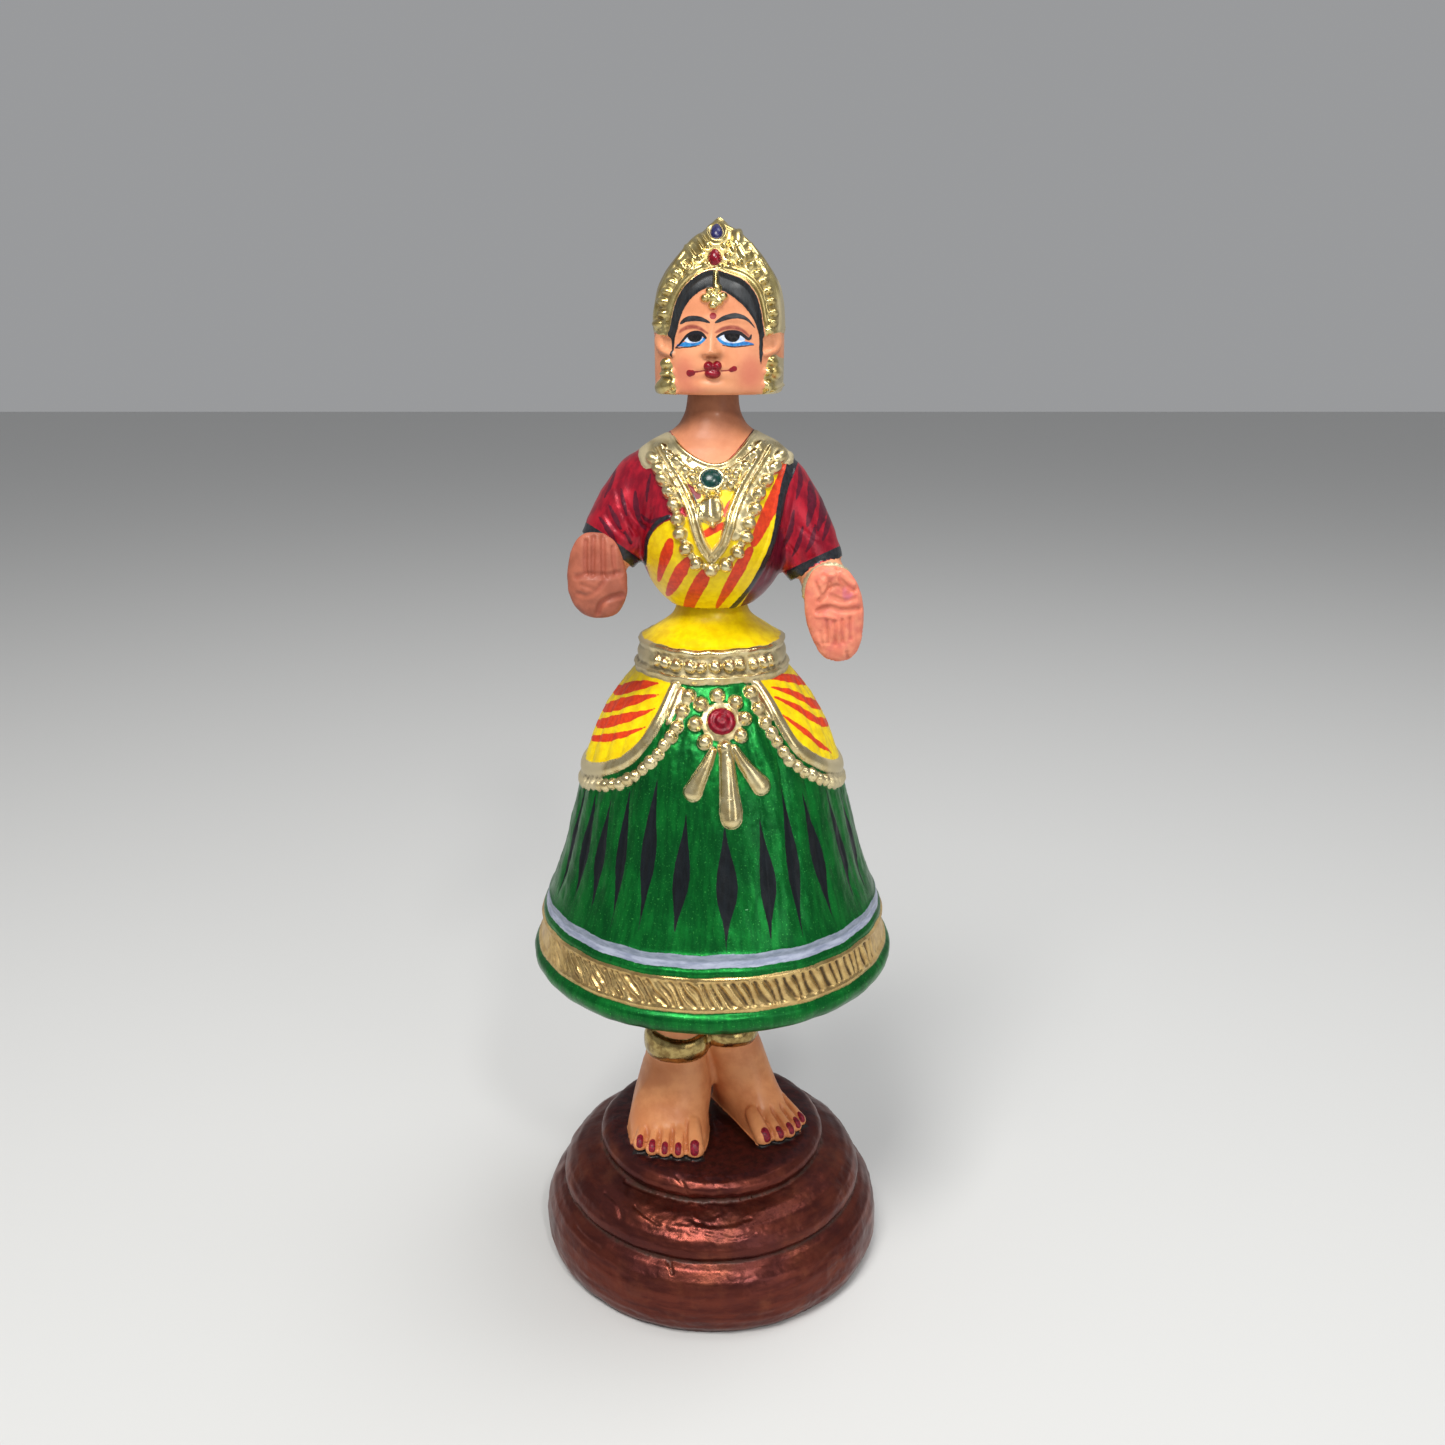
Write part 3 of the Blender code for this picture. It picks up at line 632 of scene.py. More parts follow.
def build_head():
    half, front, back, mid = head_shape()
    # rows at even steps down the outline
    zz = np.linspace(260.0, 223.0, 4000)
    run = np.concatenate([[0], np.cumsum(np.hypot(np.diff(zz), np.diff(half(zz))))])
    rows = int(run[-1] / 0.205)
    z = np.interp(np.linspace(0, run[-1], rows + 1)[1:], run, zz)
    ang = spaced_angles(206, 96)
    outer = oval_rows(z, half(z), front(z), back(z), mid(z), HEAD_AXIS, ang, 2.6)
    # round the lowest edge, then go up the inside
    iz = np.array([223.0, 223.3, 225.0, 229.0, 232.5, 236.0, 238.0, 239.6, 240.8, 241.8, 242.6, 243.1, 243.3])
    ih = Smooth([(223.0, 12.4), (223.3, 11.8), (229.0, 11.7), (236.0, 11.0), (240.8, 7.6), (242.6, 4.0), (243.3, 1.0)])(iz)
    ix = np.interp(iz, [236.0, 243.3], [HEAD_AXIS, 1.6])
    inner = oval_rows(iz, ih, ih * 0.87, ih * 0.88, np.zeros(len(iz)), 0.0, ang, 2.4)
    inner[:, :, 0] += ix[:, None]
    grid = np.concatenate([outer, inner])
    n_rows, n_cols = grid.shape[:2]
    V = np.vstack([[[HEAD_AXIS, -1.6, 260.0]], grid.reshape(-1, 3), [[1.6, 0.0, 243.4]]])
    last = len(V) - 1
    quads, top, low = lathe_grid(n_rows, n_cols)
    N = normals(V, quads)
    N[0] = (0, 0, 1)
    skin_side = np.zeros(len(V), bool)
    skin_side[:1 + rows * n_cols] = True
    seen = facing(V, N)
    ang_v = np.arctan2(V[:, 0] - HEAD_AXIS, -V[:, 1])
    Q = chart(V, 630, 200, 7.467)
    X, Y = Q[:, 0], Q[:, 1]
    unit = 0.0289                       # mm in one chart step here
    on = step(0.02, 0.2, seen) * skin_side
    r = Relief(len(V))

    inner_line = rounded([(298, 1010), (320, 960), (335, 850), (370, 725), (440, 622), (550, 548), (640, 528), (720, 560),
                          (850, 602), (930, 700), (962, 800), (985, 960), (996, 1010)])
    hair = polygon(Q, rounded([(300, 1000), (322, 950), (337, 850), (372, 725), (442, 622), (550, 550), (640, 535), (720, 560),
                               (848, 606), (926, 702), (958, 800), (982, 960), (993, 1050), (990, 1120), (980, 1228), (970, 1226),
                               (960, 1120), (966, 1040), (948, 950), (905, 862), (835, 775), (735, 700), (650, 662), (590, 652),
                               (520, 680), (440, 752), (385, 850), (360, 950), (334, 1040), (330, 1110), (324, 1185), (314, 1185),
                               (314, 1060)], True))
    under = polygon(Q, np.vstack([inner_line, [(1010, 1700), (280, 1700)]]))    # the face and hair, inside the crown
    crown = np.minimum(-under, 1003 - Y + 14 * np.sin(X / 37.0))
    # crown body stands over the face
    r.h += 0.55 * step(-8, 26, crown) + 0.28 * step(-6, 14, hair)
    share, _ = stroke(Q, inner_line, 21)
    r.raise_to(share, 1.15)
    share, _ = stroke(Q, rounded([(262, 1000), (278, 900), (302, 800), (340, 690), (410, 585), (520, 505), (590, 500)]), 13)
    r.raise_to(share, 0.95)
    share, _ = stroke(Q, rounded([(700, 505), (790, 520), (880, 560), (965, 650), (1002, 760), (1020, 900), (1024, 985)]), 14)
    r.raise_to(share, 0.95)
    # outer edge of the crown's front face
    for line in ([(212, 965), (205, 880), (218, 790), (245, 680), (300, 560), (380, 440), (470, 330), (560, 210), (640, 140)],
                 [(640, 140), (720, 205), (800, 262), (900, 360), (1000, 490), (1060, 600), (1096, 720), (1108, 860), (1100, 985)]):
        share, _ = stroke(Q, rounded(line), 17)
        r.raise_to(share, 1.0)
    beads = [(228, 925), (262, 850), (262, 762), (292, 690), (322, 622), (358, 556), (398, 498),
             (872, 428), (898, 500), (938, 560), (985, 612), (1018, 682), (1038, 758), (1052, 842), (1046, 918), (1022, 975)]
    share, bead_in = spots(Q, beads, [(40, 37)] * len(beads))
    r.raise_to(share, 1.75, 0.6)
    small = [(520, 440), (585, 352), (702, 352), (728, 425), (752, 488), (566, 492), (812, 478), (676, 505), (845, 352), (300, 925)]
    share, small_in = spots(Q, small, [(27, 27)] * len(small))
    r.raise_to(share, 1.35)
    # petals and rings beside the stones
    for a, b, w, h in (((440, 372), (486, 452), 24, 1.35), ((500, 318), (545, 392), 16, 1.3), ((540, 282), (575, 345), 14, 1.25),
                       ((790, 268), (792, 338), 40, 1.7), ((812, 378), (846, 440), 34, 1.6), ((880, 352), (940, 442), 20, 1.3),
                       ((955, 470), (1010, 560), 16, 1.2), ((740, 330), (770, 392), 17, 1.25)):
        share, _ = stroke(Q, [a, b], w)
        r.raise_to(share, h)
    ring = np.abs(np.hypot((X - 446) / 1.0, (Y - 506) / 1.1) - 36) / 14
    r.raise_to(ring, 1.4)
    r.raise_to(np.hypot((X - 446) / 18, (Y - 506) / 20), 1.2)
    # stones in their rims
    tear = np.hypot((X - 648) / (44 + 10 * (Y - 245) / 60), (Y - 245) / 62)
    r.raise_to(np.abs(np.hypot((X - 648) / (58 + 22 * (Y - 190) / 120), (Y - 246) / 84) - 0.92) / 0.19, 1.2)
    r.raise_to(tear, 1.5, 0.35)
    ruby = np.hypot((X - 636) / (50 + 8 * (Y - 440) / 60), (Y - 442) / 62)
    r.raise_to(ruby, 2.0, 0.4)
    blue = (1 - tear) * 50 * unit
    red = (1 - ruby) * 52 * unit
    # chain and crescent on the forehead
    share, chain_in = stroke(Q, [(640, 520), (642, 600), (636, 660)], 17)
    r.raise_to(share, 1.1)
    drops = [(562, 735), (592, 684), (652, 664), (694, 722), (668, 760), (620, 790), (628, 728)]
    share, drop_in = spots(Q, drops, [(36, 34), (28, 28), (34, 32), (36, 32), (30, 30), (36, 32), (42, 40)])
    r.raise_to(share, 1.3)
    # ears: a rim with a hollow, and stacked earrings below
    for side, cx, w in ((-1, 262, 1.0), (1, 1062, 1.0)):
        rim = [(cx - 52 * side * w, 1150), (cx + 30 * side, 1120), (cx + 48 * side, 1040), (cx + 20 * side, 985), (cx - 30 * side, 1000)]
        share, _ = stroke(Q, rounded(rim), 24)
        r.raise_to(share, 0.85)
        share, _ = spots(Q, [(cx - 4 * side, 1062)], [(26, 44)])
        r.add(share, -0.45)
        share, _ = stroke(Q, rounded([(cx - 20 * side, 1030), (cx + 10 * side, 1060), (cx - 14 * side, 1105)]), 11)
        r.add(share, 0.35)
    ear_l = [(272, 1222), (270, 1296), (262, 1392), (322, 1290), (330, 1375)]
    share, ring_l = spots(Q, ear_l, [(36, 46), (40, 24), (66, 62), (14, 40), (18, 44)])
    r.raise_to(share, 1.25)
    share, _ = stroke(Q, rounded([(205, 1425), (270, 1448), (345, 1432)]), 15)
    r.raise_to(share, 0.8)
    ear_r = [(1062, 1205), (1026, 1282), (1022, 1384), (1088, 1282)]
    share, ring_r = spots(Q, ear_r, [(42, 44), (28, 32), (36, 44), (40, 54)])
    r.raise_to(share, 1.2)
    share, _ = stroke(Q, rounded([(1060, 1420), (1105, 1398), (1150, 1372)]), 12)
    r.raise_to(share, 0.7)
    jewel_l = polygon(Q, rounded([(238, 1190), (285, 1168), (318, 1215), (336, 1300), (348, 1400), (352, 1475), (180, 1475),
                                  (176, 1405), (222, 1380), (232, 1290)], True))
    jewel_r = polygon(Q, rounded([(1032, 1165), (1085, 1148), (1120, 1180), (1200, 1186), (1200, 1475), (982, 1475), (996, 1390),
                                  (1004, 1290), (1018, 1220)], True))

    # face: brow, sockets, lids, nose, cheeks, lips, chin
    soft = Relief(len(V))
    for cx, cy in ((478, 1015), (762, 1015)):
        soft.h += -0.62 * np.exp(-((X - cx) / 118) ** 2 - ((Y - cy + 18) / 78) ** 2)
        soft.h += 0.62 * np.exp(-((X - cx) / 76) ** 2 - ((Y - cy - 12) / 42) ** 2)
    soft.h += 0.30 * np.exp(-((X - 470) / 140) ** 2 - ((Y - 900) / 42) ** 2)
    soft.h += 0.30 * np.exp(-((X - 770) / 150) ** 2 - ((Y - 900) / 42) ** 2)
    soft.h += 0.50 * np.exp(-((X - 425) / 95) ** 2 - ((Y - 1215) / 100) ** 2)
    soft.h += 0.50 * np.exp(-((X - 820) / 110) ** 2 - ((Y - 1205) / 105) ** 2)
    soft.h += 0.75 * np.exp(-((X - 606) / 120) ** 2 - ((Y - 1395) / 52) ** 2)
    soft.h += -0.42 * np.exp(-((X - 612) / 90) ** 2 - ((Y - 1343) / 20) ** 2)
    soft.h += 0.30 * np.exp(-((X - 615) / 130) ** 2 - ((Y - 1260) / 60) ** 2)
    # nose: a ridge that grows to its tip and stops over the lip
    ridge_x = 606 + 0 * Y
    wide = np.interp(Y, [860, 980, 1080, 1130, 1165, 1190], [38, 34, 44, 62, 64, 40])
    tall = np.interp(Y, [860, 930, 1020, 1090, 1130, 1150, 1172, 1192], [0.0, 0.45, 1.05, 1.75, 2.15, 2.05, 1.0, 0.0])
    soft.h += tall * np.exp(-((X - ridge_x) / wide) ** 2 * 1.15)
    for cx in (566, 648):
        soft.h += 0.62 * np.exp(-((X - cx) / 24) ** 2 - ((Y - 1143) / 24) ** 2)
    for cx in (588, 630):
        soft.h += -0.45 * np.exp(-((X - cx) / 13) ** 2 - ((Y - 1176) / 11) ** 2)
    # eyelid crease
    for line in ([(386, 968), (440, 946), (505, 948), (560, 984)], [(650, 984), (702, 956), (790, 947), (862, 986), (902, 1030)]):
        share, _ = stroke(Q, rounded(line), 15)
        soft.add(share, -0.20)
    # smile line
    share, _ = stroke(Q, rounded([(430, 1292), (500, 1290), (560, 1274), (680, 1276), (740, 1276), (800, 1252)]), 15)
    soft.add(share, -0.22)
    lip, _ = spots(Q, [(588, 1240), (651, 1238)], [(37, 38), (34, 38)])
    soft.raise_to(lip, 1.45, 0.45)
    lip2, _ = spots(Q, [(618, 1296)], [(60, 37)])
    soft.raise_to(lip2, 1.35, 0.45)
    share, _ = stroke(Q, [(560, 1266), (618, 1270), (680, 1268)], 8)
    soft.add(share, -0.35)
    share, side_l = stroke(Q, [(450, 1292), (466, 1290)], [27, 22])
    soft.add(share, 0.25, 0.7)
    share, side_r = stroke(Q, [(755, 1268), (778, 1258)], [17, 21])
    soft.add(share, 0.25, 0.7)
    face = step(-4, 10, under) * (1 - step(-6, 10, hair))
    r.h = r.h + soft.h * face

    h = r.h * on * (1 - 0.92 * step(256.0, 259.6, V[:, 2]))
    # plain crown behind the ears: a low rim all round, flutes over the dome, combed hair below
    side = (1 - on) * skin_side
    rim_z = 235.8 + 5.2 * step(1.7, 2.5, np.abs(ang_v))
    gap = V[:, 2] - rim_z
    back_half = step(1.45, 1.75, np.abs(ang_v))
    h += side * (0.15 * step(-0.25, 0.35, gap) + back_half * (0.45 * np.exp(-((gap - 1.2) / 0.55) ** 2) + 0.30 * np.exp(-((gap - 3.2) / 0.4) ** 2)))
    back_on = side * step(1.75, 2.1, np.abs(ang_v))
    h += back_on * step(1.0, 2.5, gap) * (1 - step(15.5, 18, gap)) * 0.28 * np.abs(np.sin(ang_v * 17))
    comb = back_on * (1 - step(-0.8, -0.2, gap))
    h += comb * 0.20 * np.sin(ang_v * 46 + 1.2 * np.sin(V[:, 2] * 0.5))
    h += skin_side * (0.06 * lumps(V, 3.6, 3) + 0.014 * lumps(V, 1.1, 4)) * (1 - 0.6 * face * on) * (1 - step(258.0, 259.8, V[:, 2]))
    # thick gold paint rounds the relief off
    mesh_h = h[1:last].reshape(n_rows, n_cols)
    for _ in range(4):
        padded = np.pad(mesh_h, ((1, 1), (0, 0)), mode="edge")
        mean = (padded[:-2] + padded[2:] + np.roll(mesh_h, 1, 1) + np.roll(mesh_h, -1, 1)) / 4
        mesh_h = mesh_h * 0.55 + mean * 0.45
    h[1:last] = mesh_h.ravel()
    h[0] = h[last] = 0
    W = V + N * h[:, None]
    # stay under the nominal top and on the lowest plane
    W[:, 2] = np.minimum(W[:, 2], 260.0)
    W[:, 2] = np.maximum(W[:, 2], 223.0)

    far = -50.0
    def front_only(d, off=far):
        return np.where(on > 0.02, d * unit, off)
    side_gold = np.where(on > 0.02, crown * unit, gap)
    back_hair = (np.abs(ang_v) - 1.78) * 12
    jewels = np.maximum(jewel_l, jewel_r) * unit
    # the earring's gold carries on round the bottom corner on the +X side
    side_jewel = np.where(ang_v > 0, np.minimum(229.9 - V[:, 2], (2.0 - np.abs(ang_v)) * 10), np.minimum(224.6 - V[:, 2], (1.75 - np.abs(ang_v)) * 10))
    fields = {
        "gold_d": np.maximum(np.maximum(side_gold, np.where(on > 0.02, np.maximum(drop_in, chain_in) * unit, far)),
                             np.where(on > 0.02, jewels, side_jewel)),
        "hair_d": np.where(on > 0.02, hair * unit, np.minimum(back_hair, 9)),
        "red_d": front_only(red / unit), "blue_d": front_only(blue / unit),
        # the crown's outer sides take the pale, duller gold: painted reflection of a glancing view
        "dull_glare_d": np.where(on > 0.02, (np.maximum(X - 1085, 205 - X)) * unit, 3.0),
    }
    dot, bindi = spots(Q, [(620, 866)], [(26, 26)])
    fields["bindi_d"] = front_only(bindi)
    brow = np.maximum(brush(Q, [(376, 926), (410, 896), (450, 884), (512, 885), (552, 897), (596, 916)], [3, 13, 20, 21, 18, 12, 4]),
                      brush(Q, [(636, 917), (668, 900), (705, 880), (780, 862), (840, 872), (888, 900), (936, 958)], [4, 13, 19, 22, 16, 7, 2]))
    fields["brow_d"] = front_only(brow)
    crease = np.maximum(brush(Q, [(366, 992), (392, 966), (440, 946), (505, 948), (580, 996)], [3, 12, 17, 14, 5]),
                        brush(Q, [(640, 990), (702, 956), (790, 948), (862, 988), (908, 1040)], [6, 15, 17, 10, 2]))
    fields["crease_d"] = front_only(crease)
    white = np.maximum(polygon(Q, rounded([(398, 1050), (426, 1014), (478, 992), (526, 1000), (548, 1028), (534, 1054),
                                           (480, 1070), (432, 1068)], True)),
                       polygon(Q, rounded([(652, 1020), (690, 998), (742, 990), (806, 994), (856, 1030), (864, 1052),
                                           (804, 1068), (738, 1070), (690, 1052)], True)))
    fields["white_d"] = front_only(white)
    iris = np.maximum(polygon(Q, rounded([(430, 984), (536, 984), (542, 1030), (514, 1060), (458, 1062), (428, 1034)], True)),
                      polygon(Q, rounded([(704, 982), (818, 980), (824, 1026), (792, 1062), (738, 1060), (702, 1024)], True)))
    fields["iris_d"] = front_only(iris)
    lid = np.maximum(brush(Q, [(352, 1086), (400, 1078), (450, 1076), (515, 1064), (558, 1036)], [5, 16, 21, 18, 9]),
                     brush(Q, [(656, 1030), (695, 1064), (770, 1078), (852, 1068), (924, 1078)], [8, 17, 20, 15, 3]))
    fields["lid_d"] = front_only(lid)
    lash = np.maximum(brush(Q, [(340, 1104), (372, 1076), (400, 1042), (430, 1006), (482, 984), (536, 994), (566, 1030)], [4, 8, 11, 13, 9]),
                      brush(Q, [(648, 1024), (690, 996), (742, 982), (812, 986), (856, 1018), (884, 1042), (900, 1030), (906, 1006)],
                            [8, 13, 13, 11, 5]))
    lash = np.maximum(lash, brush(Q, [(346, 1108), (402, 1100), (470, 1096), (530, 1080)], [4, 5, 5, 3]))
    lash = np.maximum(lash, brush(Q, [(690, 1084), (770, 1100), (860, 1090), (926, 1082)], [3, 5, 5, 3]))
    fields["lash_d"] = front_only(lash)
    mouth = np.maximum(np.maximum((1 - np.minimum(lip, lip2)) * 40, side_l), side_r)
    mouth = np.maximum(mouth, stroke(Q, [(480, 1284), (520, 1280), (562, 1272)], [7, 5, 5])[1])
    mouth = np.maximum(mouth, stroke(Q, [(680, 1276), (720, 1274), (758, 1264)], [5, 4.5, 6])[1])
    fields["mouth_d"] = front_only(mouth)
    # painted shadow under the nose tip, over the nostrils
    fields["under_nose_shadow"] = np.where(on > 0.02, np.exp(-((X - 588) / 24) ** 2 - ((Y - 1172) / 13) ** 2) + np.exp(-((X - 636) / 24) ** 2 - ((Y - 1174) / 13) ** 2), 0)
    fields["blush"] = np.where(on > 0.02, np.exp(-((X - 405) / 95) ** 2 - ((Y - 1290) / 130) ** 2) + np.exp(-((X - 900) / 110) ** 2 - ((Y - 1290) / 140) ** 2)
                               + 0.5 * np.exp(-((X - 500) / 110) ** 2 - ((Y - 1420) / 40) ** 2), 0)
    # brown patches by the nose, under the lower lip and between the brows: painted shade, with grime
    fields["grime_and_shade"] = np.where(on > 0.02, np.exp(-((X - 640) / 70) ** 2 - ((Y - 1150) / 60) ** 2) + 0.6 * np.exp(-((X - 700) / 110) ** 2 - ((Y - 1350) / 40) ** 2)
                               + 0.35 * np.exp(-((X - 606) / 60) ** 2 - ((Y - 1000) / 70) ** 2), 0)
    fields["inside"] = np.where(skin_side, 0.0, 1.0)
    N2 = normals(W, quads)
    fields["hollow"] = hollows(W, quads, N2, 0.22) * step(-0.2, 0.3, np.maximum(fields["gold_d"], fields["hair_d"]))

    p = Paint("head_paint", SKIN_A, 0.42, 0.0)
    p.color = p.tone(SKIN_A, SKIN_B, 9.0, seed=1.0)
    # painted shade and grime by the nose and lip
    p.color = p.mix(p.span(p.attr("grime_and_shade"), 0.1, 1.0, 0.0, 0.5), p.color, p.tone(srgb(172, 108, 62), srgb(150, 92, 52), 1.5))
    p.color = p.mix(p.span(p.attr("blush"), 0.05, 1.0, 0.0, 0.55), p.color, srgb(206, 100, 86))
    # painted shadow under the nose
    p.color = p.mix(p.span(p.attr("under_nose_shadow"), 0.1, 1.0, 0.0, 0.8), p.color, srgb(120, 62, 34))
    p.layer(p.edge("crease_d", 0.26, 0.10, 0.6), p.tone(srgb(138, 62, 52), srgb(168, 92, 72), 1.2), 0.45, 0.0)
    p.layer(p.edge("lid_d", 0.07, 0.08, 0.5), p.tone(srgb(50, 140, 204), srgb(26, 98, 172), 0.8), 0.4, 0.0)
    p.layer(p.edge("white_d", 0.06, 0.05, 0.5), p.tone(srgb(226, 232, 240), srgb(170, 190, 226), 0.9), 0.35, 0.0)
    p.layer(p.edge("iris_d", 0.06, 0.05, 0.4), p.tone(srgb(12, 12, 14), srgb(34, 30, 30), 0.7), 0.22, 0.0)
    p.layer(p.edge("lash_d", 0.05, 0.05, 0.4), srgb(24, 24, 32), 0.35, 0.0)
    p.layer(p.edge("brow_d", 0.06, 0.08, 0.4), p.tone(srgb(26, 28, 32), srgb(52, 54, 58), 0.6, (3, 1, 1)), 0.38, 0.0)
    p.layer(p.edge("bindi_d", 0.06, 0.05, 0.4), srgb(142, 14, 28), 0.4, 0.0)
    p.layer(p.edge("mouth_d", 0.07, 0.06, 0.5), p.tone(srgb(146, 6, 32), srgb(112, 4, 26), 0.8), 0.3, 0.0)
    p.layer(p.edge("hair_d", 0.08, 0.14, 0.7), p.tone(srgb(13, 16, 20), srgb(32, 36, 40), 0.5, (1, 1, 5)), 0.38, 0.0)
    # pale, duller gold at the sides: painted reflection with a duller finish
    dull_glare = p.edge("dull_glare_d", 0.5, 0.3, 2.0)
    bright = p.tone(srgb(222, 204, 140), srgb(188, 164, 102), 3.0, seed=5.0)
    p.layer(p.edge("gold_d", 0.07, 0.16, 0.8), p.mix(dull_glare, bright, GOLD_DULL_GLARE), p.mixf(dull_glare, 0.24, 0.42), p.mixf(dull_glare, 1.0, 0.65))
    p.layer(p.edge("blue_d", 0.06, 0.08, 0.6), p.tone(srgb(18, 20, 62), srgb(36, 36, 92), 0.6), 0.24, 0.0)
    p.layer(p.edge("red_d", 0.06, 0.08, 0.6), p.tone(srgb(136, 8, 30), srgb(98, 4, 22), 0.7), 0.22, 0.0)
    p.layer(p.attr("inside"), p.tone(srgb(160, 140, 112), srgb(132, 112, 88), 2.5), 0.9, 0.0)
    mat = p.done(((0.45, 0.008), (1.6, 0.025)), coat=0.08, ior=1.42)

    tri = np.vstack([top, low])
    return to_piece("head_painted", W, (quads, tri), fields, mat), len(quads) * 2 + len(tri)


# ---------------------------------------------------------------- skirt

SKIRT_LINE = (     # radius, height, from the inner lip round the hem and up to the waist's tip
    (41.6, 84.6), (41.7, 83.8), (42.3, 83.4), (43.3, 83.7), (44.4, 84.8), (45.1, 86.2), (45.3, 87.3), (44.9, 88.4), (44.1, 89.1), (43.7, 89.6),
    (43.4, 91.0), (42.9, 94.0), (42.6, 96.6), (42.4, 97.6), (42.1, 98.6), (41.7, 99.7), (41.2, 101.4), (40.6, 102.9), (39.9, 104.6),
    (37.7, 109.9), (35.3, 118.3), (33.6, 125.0), (31.9, 132.0), (30.2, 137.8), (28.1, 143.5), (26.2, 147.5), (23.8, 151.6),
    (20.8, 155.6), (18.3, 158.8), (17.4, 160.4), (17.1, 163.0), (16.7, 165.4), (16.2, 166.6), (14.5, 168.0), (11.6, 169.9),
    (9.3, 171.9), (8.2, 174.6), (6.3, 181.0), (4.8, 190.0), (2.6, 194.5), (1.0, 195.4),
)
SKIRT_IN = ((41.3, 87.0), (40.6, 93.0), (38.2, 101.0), (36.0, 108.0), (32.9, 117.0), (29.6, 129.0), (26.6, 140.0), (24.4, 145.0),
            (21.4, 149.0), (18.4, 151.6), (15.0, 153.6), (11.5, 154.6), (8.0, 155.0), (4.0, 155.3))
DIAMONDS = (       # angle and height at the top, middle and bottom, half width in mm
    (5.3, 129.0, 5.8, 116.6, 4.8, 103.2, 2.15), (-10.1, 131.8, -11.0, 118.2, -12.7, 104.4, 1.7), (-24.5, 139.1, -24.6, 119.0, -25.0, 105.6, 1.55),
    (-37.3, 135.6, -36.2, 115.0, -35.9, 105.0, 1.35), (-47.4, 131.4, -47.7, 116.0, -46.3, 105.4, 1.45), (-58.4, 131.0, -57.6, 114.6, -57.6, 105.8, 1.45),
    (19.9, 130.0, 21.3, 116.9, 19.6, 102.6, 1.7), (31.6, 136.2, 32.4, 118.1, 31.4, 102.4, 1.5), (41.8, 134.0, 44.9, 118.4, 45.9, 104.0, 1.75),
    (57.6, 132.3, 61.6, 116.2, 60.2, 104.0, 1.5), (72.6, 130.0, 74.0, 115.0, 71.6, 104.0, 1.5),
)
SWAG_L = ((-24.0, 160.2), (-27.4, 158.0), (-28.0, 155.0), (-29.6, 151.6), (-31.8, 148.8), (-35.0, 145.8), (-40.6, 142.4), (-47.8, 140.0),
          (-59.5, 137.4), (-72.0, 135.6), (-84.0, 134.8), (-97.0, 134.6))
SWAG_R = ((30.5, 160.2), (35.4, 158.0), (37.6, 155.0), (39.0, 151.8), (41.0, 148.2), (43.8, 144.8), (49.4, 142.0), (57.0, 139.6),
          (68.6, 136.6), (80.0, 135.0), (97.0, 134.6))
SWAG_BEADS = (
    ((-15.0, 156.7), (-17.0, 153.8), (-18.6, 150.5), (-22.0, 147.6), (-25.6, 144.7), (-29.7, 142.0), (-35.2, 139.4), (-40.1, 137.4),
     (-46.3, 136.0), (-52.2, 135.0), (-59.5, 134.0), (-66.5, 132.9), (-73.5, 132.2), (-80.5, 131.7), (-87.5, 131.4)),
    ((26.8, 157.1), (28.6, 153.8), (30.1, 150.8), (33.3, 148.0), (35.3, 144.6), (39.2, 141.8), (43.5, 139.8), (48.8, 137.9),
     (54.7, 136.2), (61.6, 134.2), (68.6, 132.9), (75.6, 132.2), (82.6, 131.7), (89.6, 131.4)),
)
ROSETTE = (5.6, 151.8)
ROSETTE_BEADS = ((4.0, 156.9), (15.2, 155.5), (18.6, 152.2), (15.0, 148.9), (6.6, 146.6), (-3.2, 147.8), (-8.6, 151.4), (-6.4, 155.2))
LEAVES = (         # angle and height along each brushed leaf from its tip, and half widths in mm
    (((-40.3, 158.3), (-58.4, 156.8), (-84.0, 153.0), (-97.0, 152.4)), (0.15, 1.2, 1.65, 1.5, 0.7)),
    (((-36.1, 156.2), (-57.0, 153.4), (-84.0, 148.6), (-97.0, 147.6)), (0.15, 1.2, 1.6, 1.35, 0.5)),
    (((-34.6, 153.4), (-53.0, 150.0), (-78.0, 145.6), (-97.0, 143.6)), (0.15, 1.1, 1.45, 1.1, 0.4)),
    (((-36.6, 149.6), (-50.1, 146.5), (-71.5, 143.0), (-90.0, 140.6)), (0.15, 0.75, 0.95, 0.7, 0.2)),
    (((48.0, 158.9), (62.0, 158.2), (78.0, 156.4), (97.0, 154.0)), (0.25, 1.1, 1.45, 1.2)),
    (((45.0, 157.2), (61.5, 154.8), (78.0, 150.4), (97.0, 147.6)), (0.25, 1.05, 1.35, 1.1)),
    (((43.4, 155.2), (57.7, 151.9), (70.4, 147.2), (97.0, 143.2)), (0.25, 1.0, 1.15, 0.9)),
    (((42.8, 151.6), (52.6, 147.6), (62.0, 143.2), (74.0, 139.2)), (0.2, 0.8, 0.75, 0.15)),
)


def skirt_axis(z):
    return np.interp(z, [84.0, 174.0, 196.0], [0.3, 0.4, 0.7])


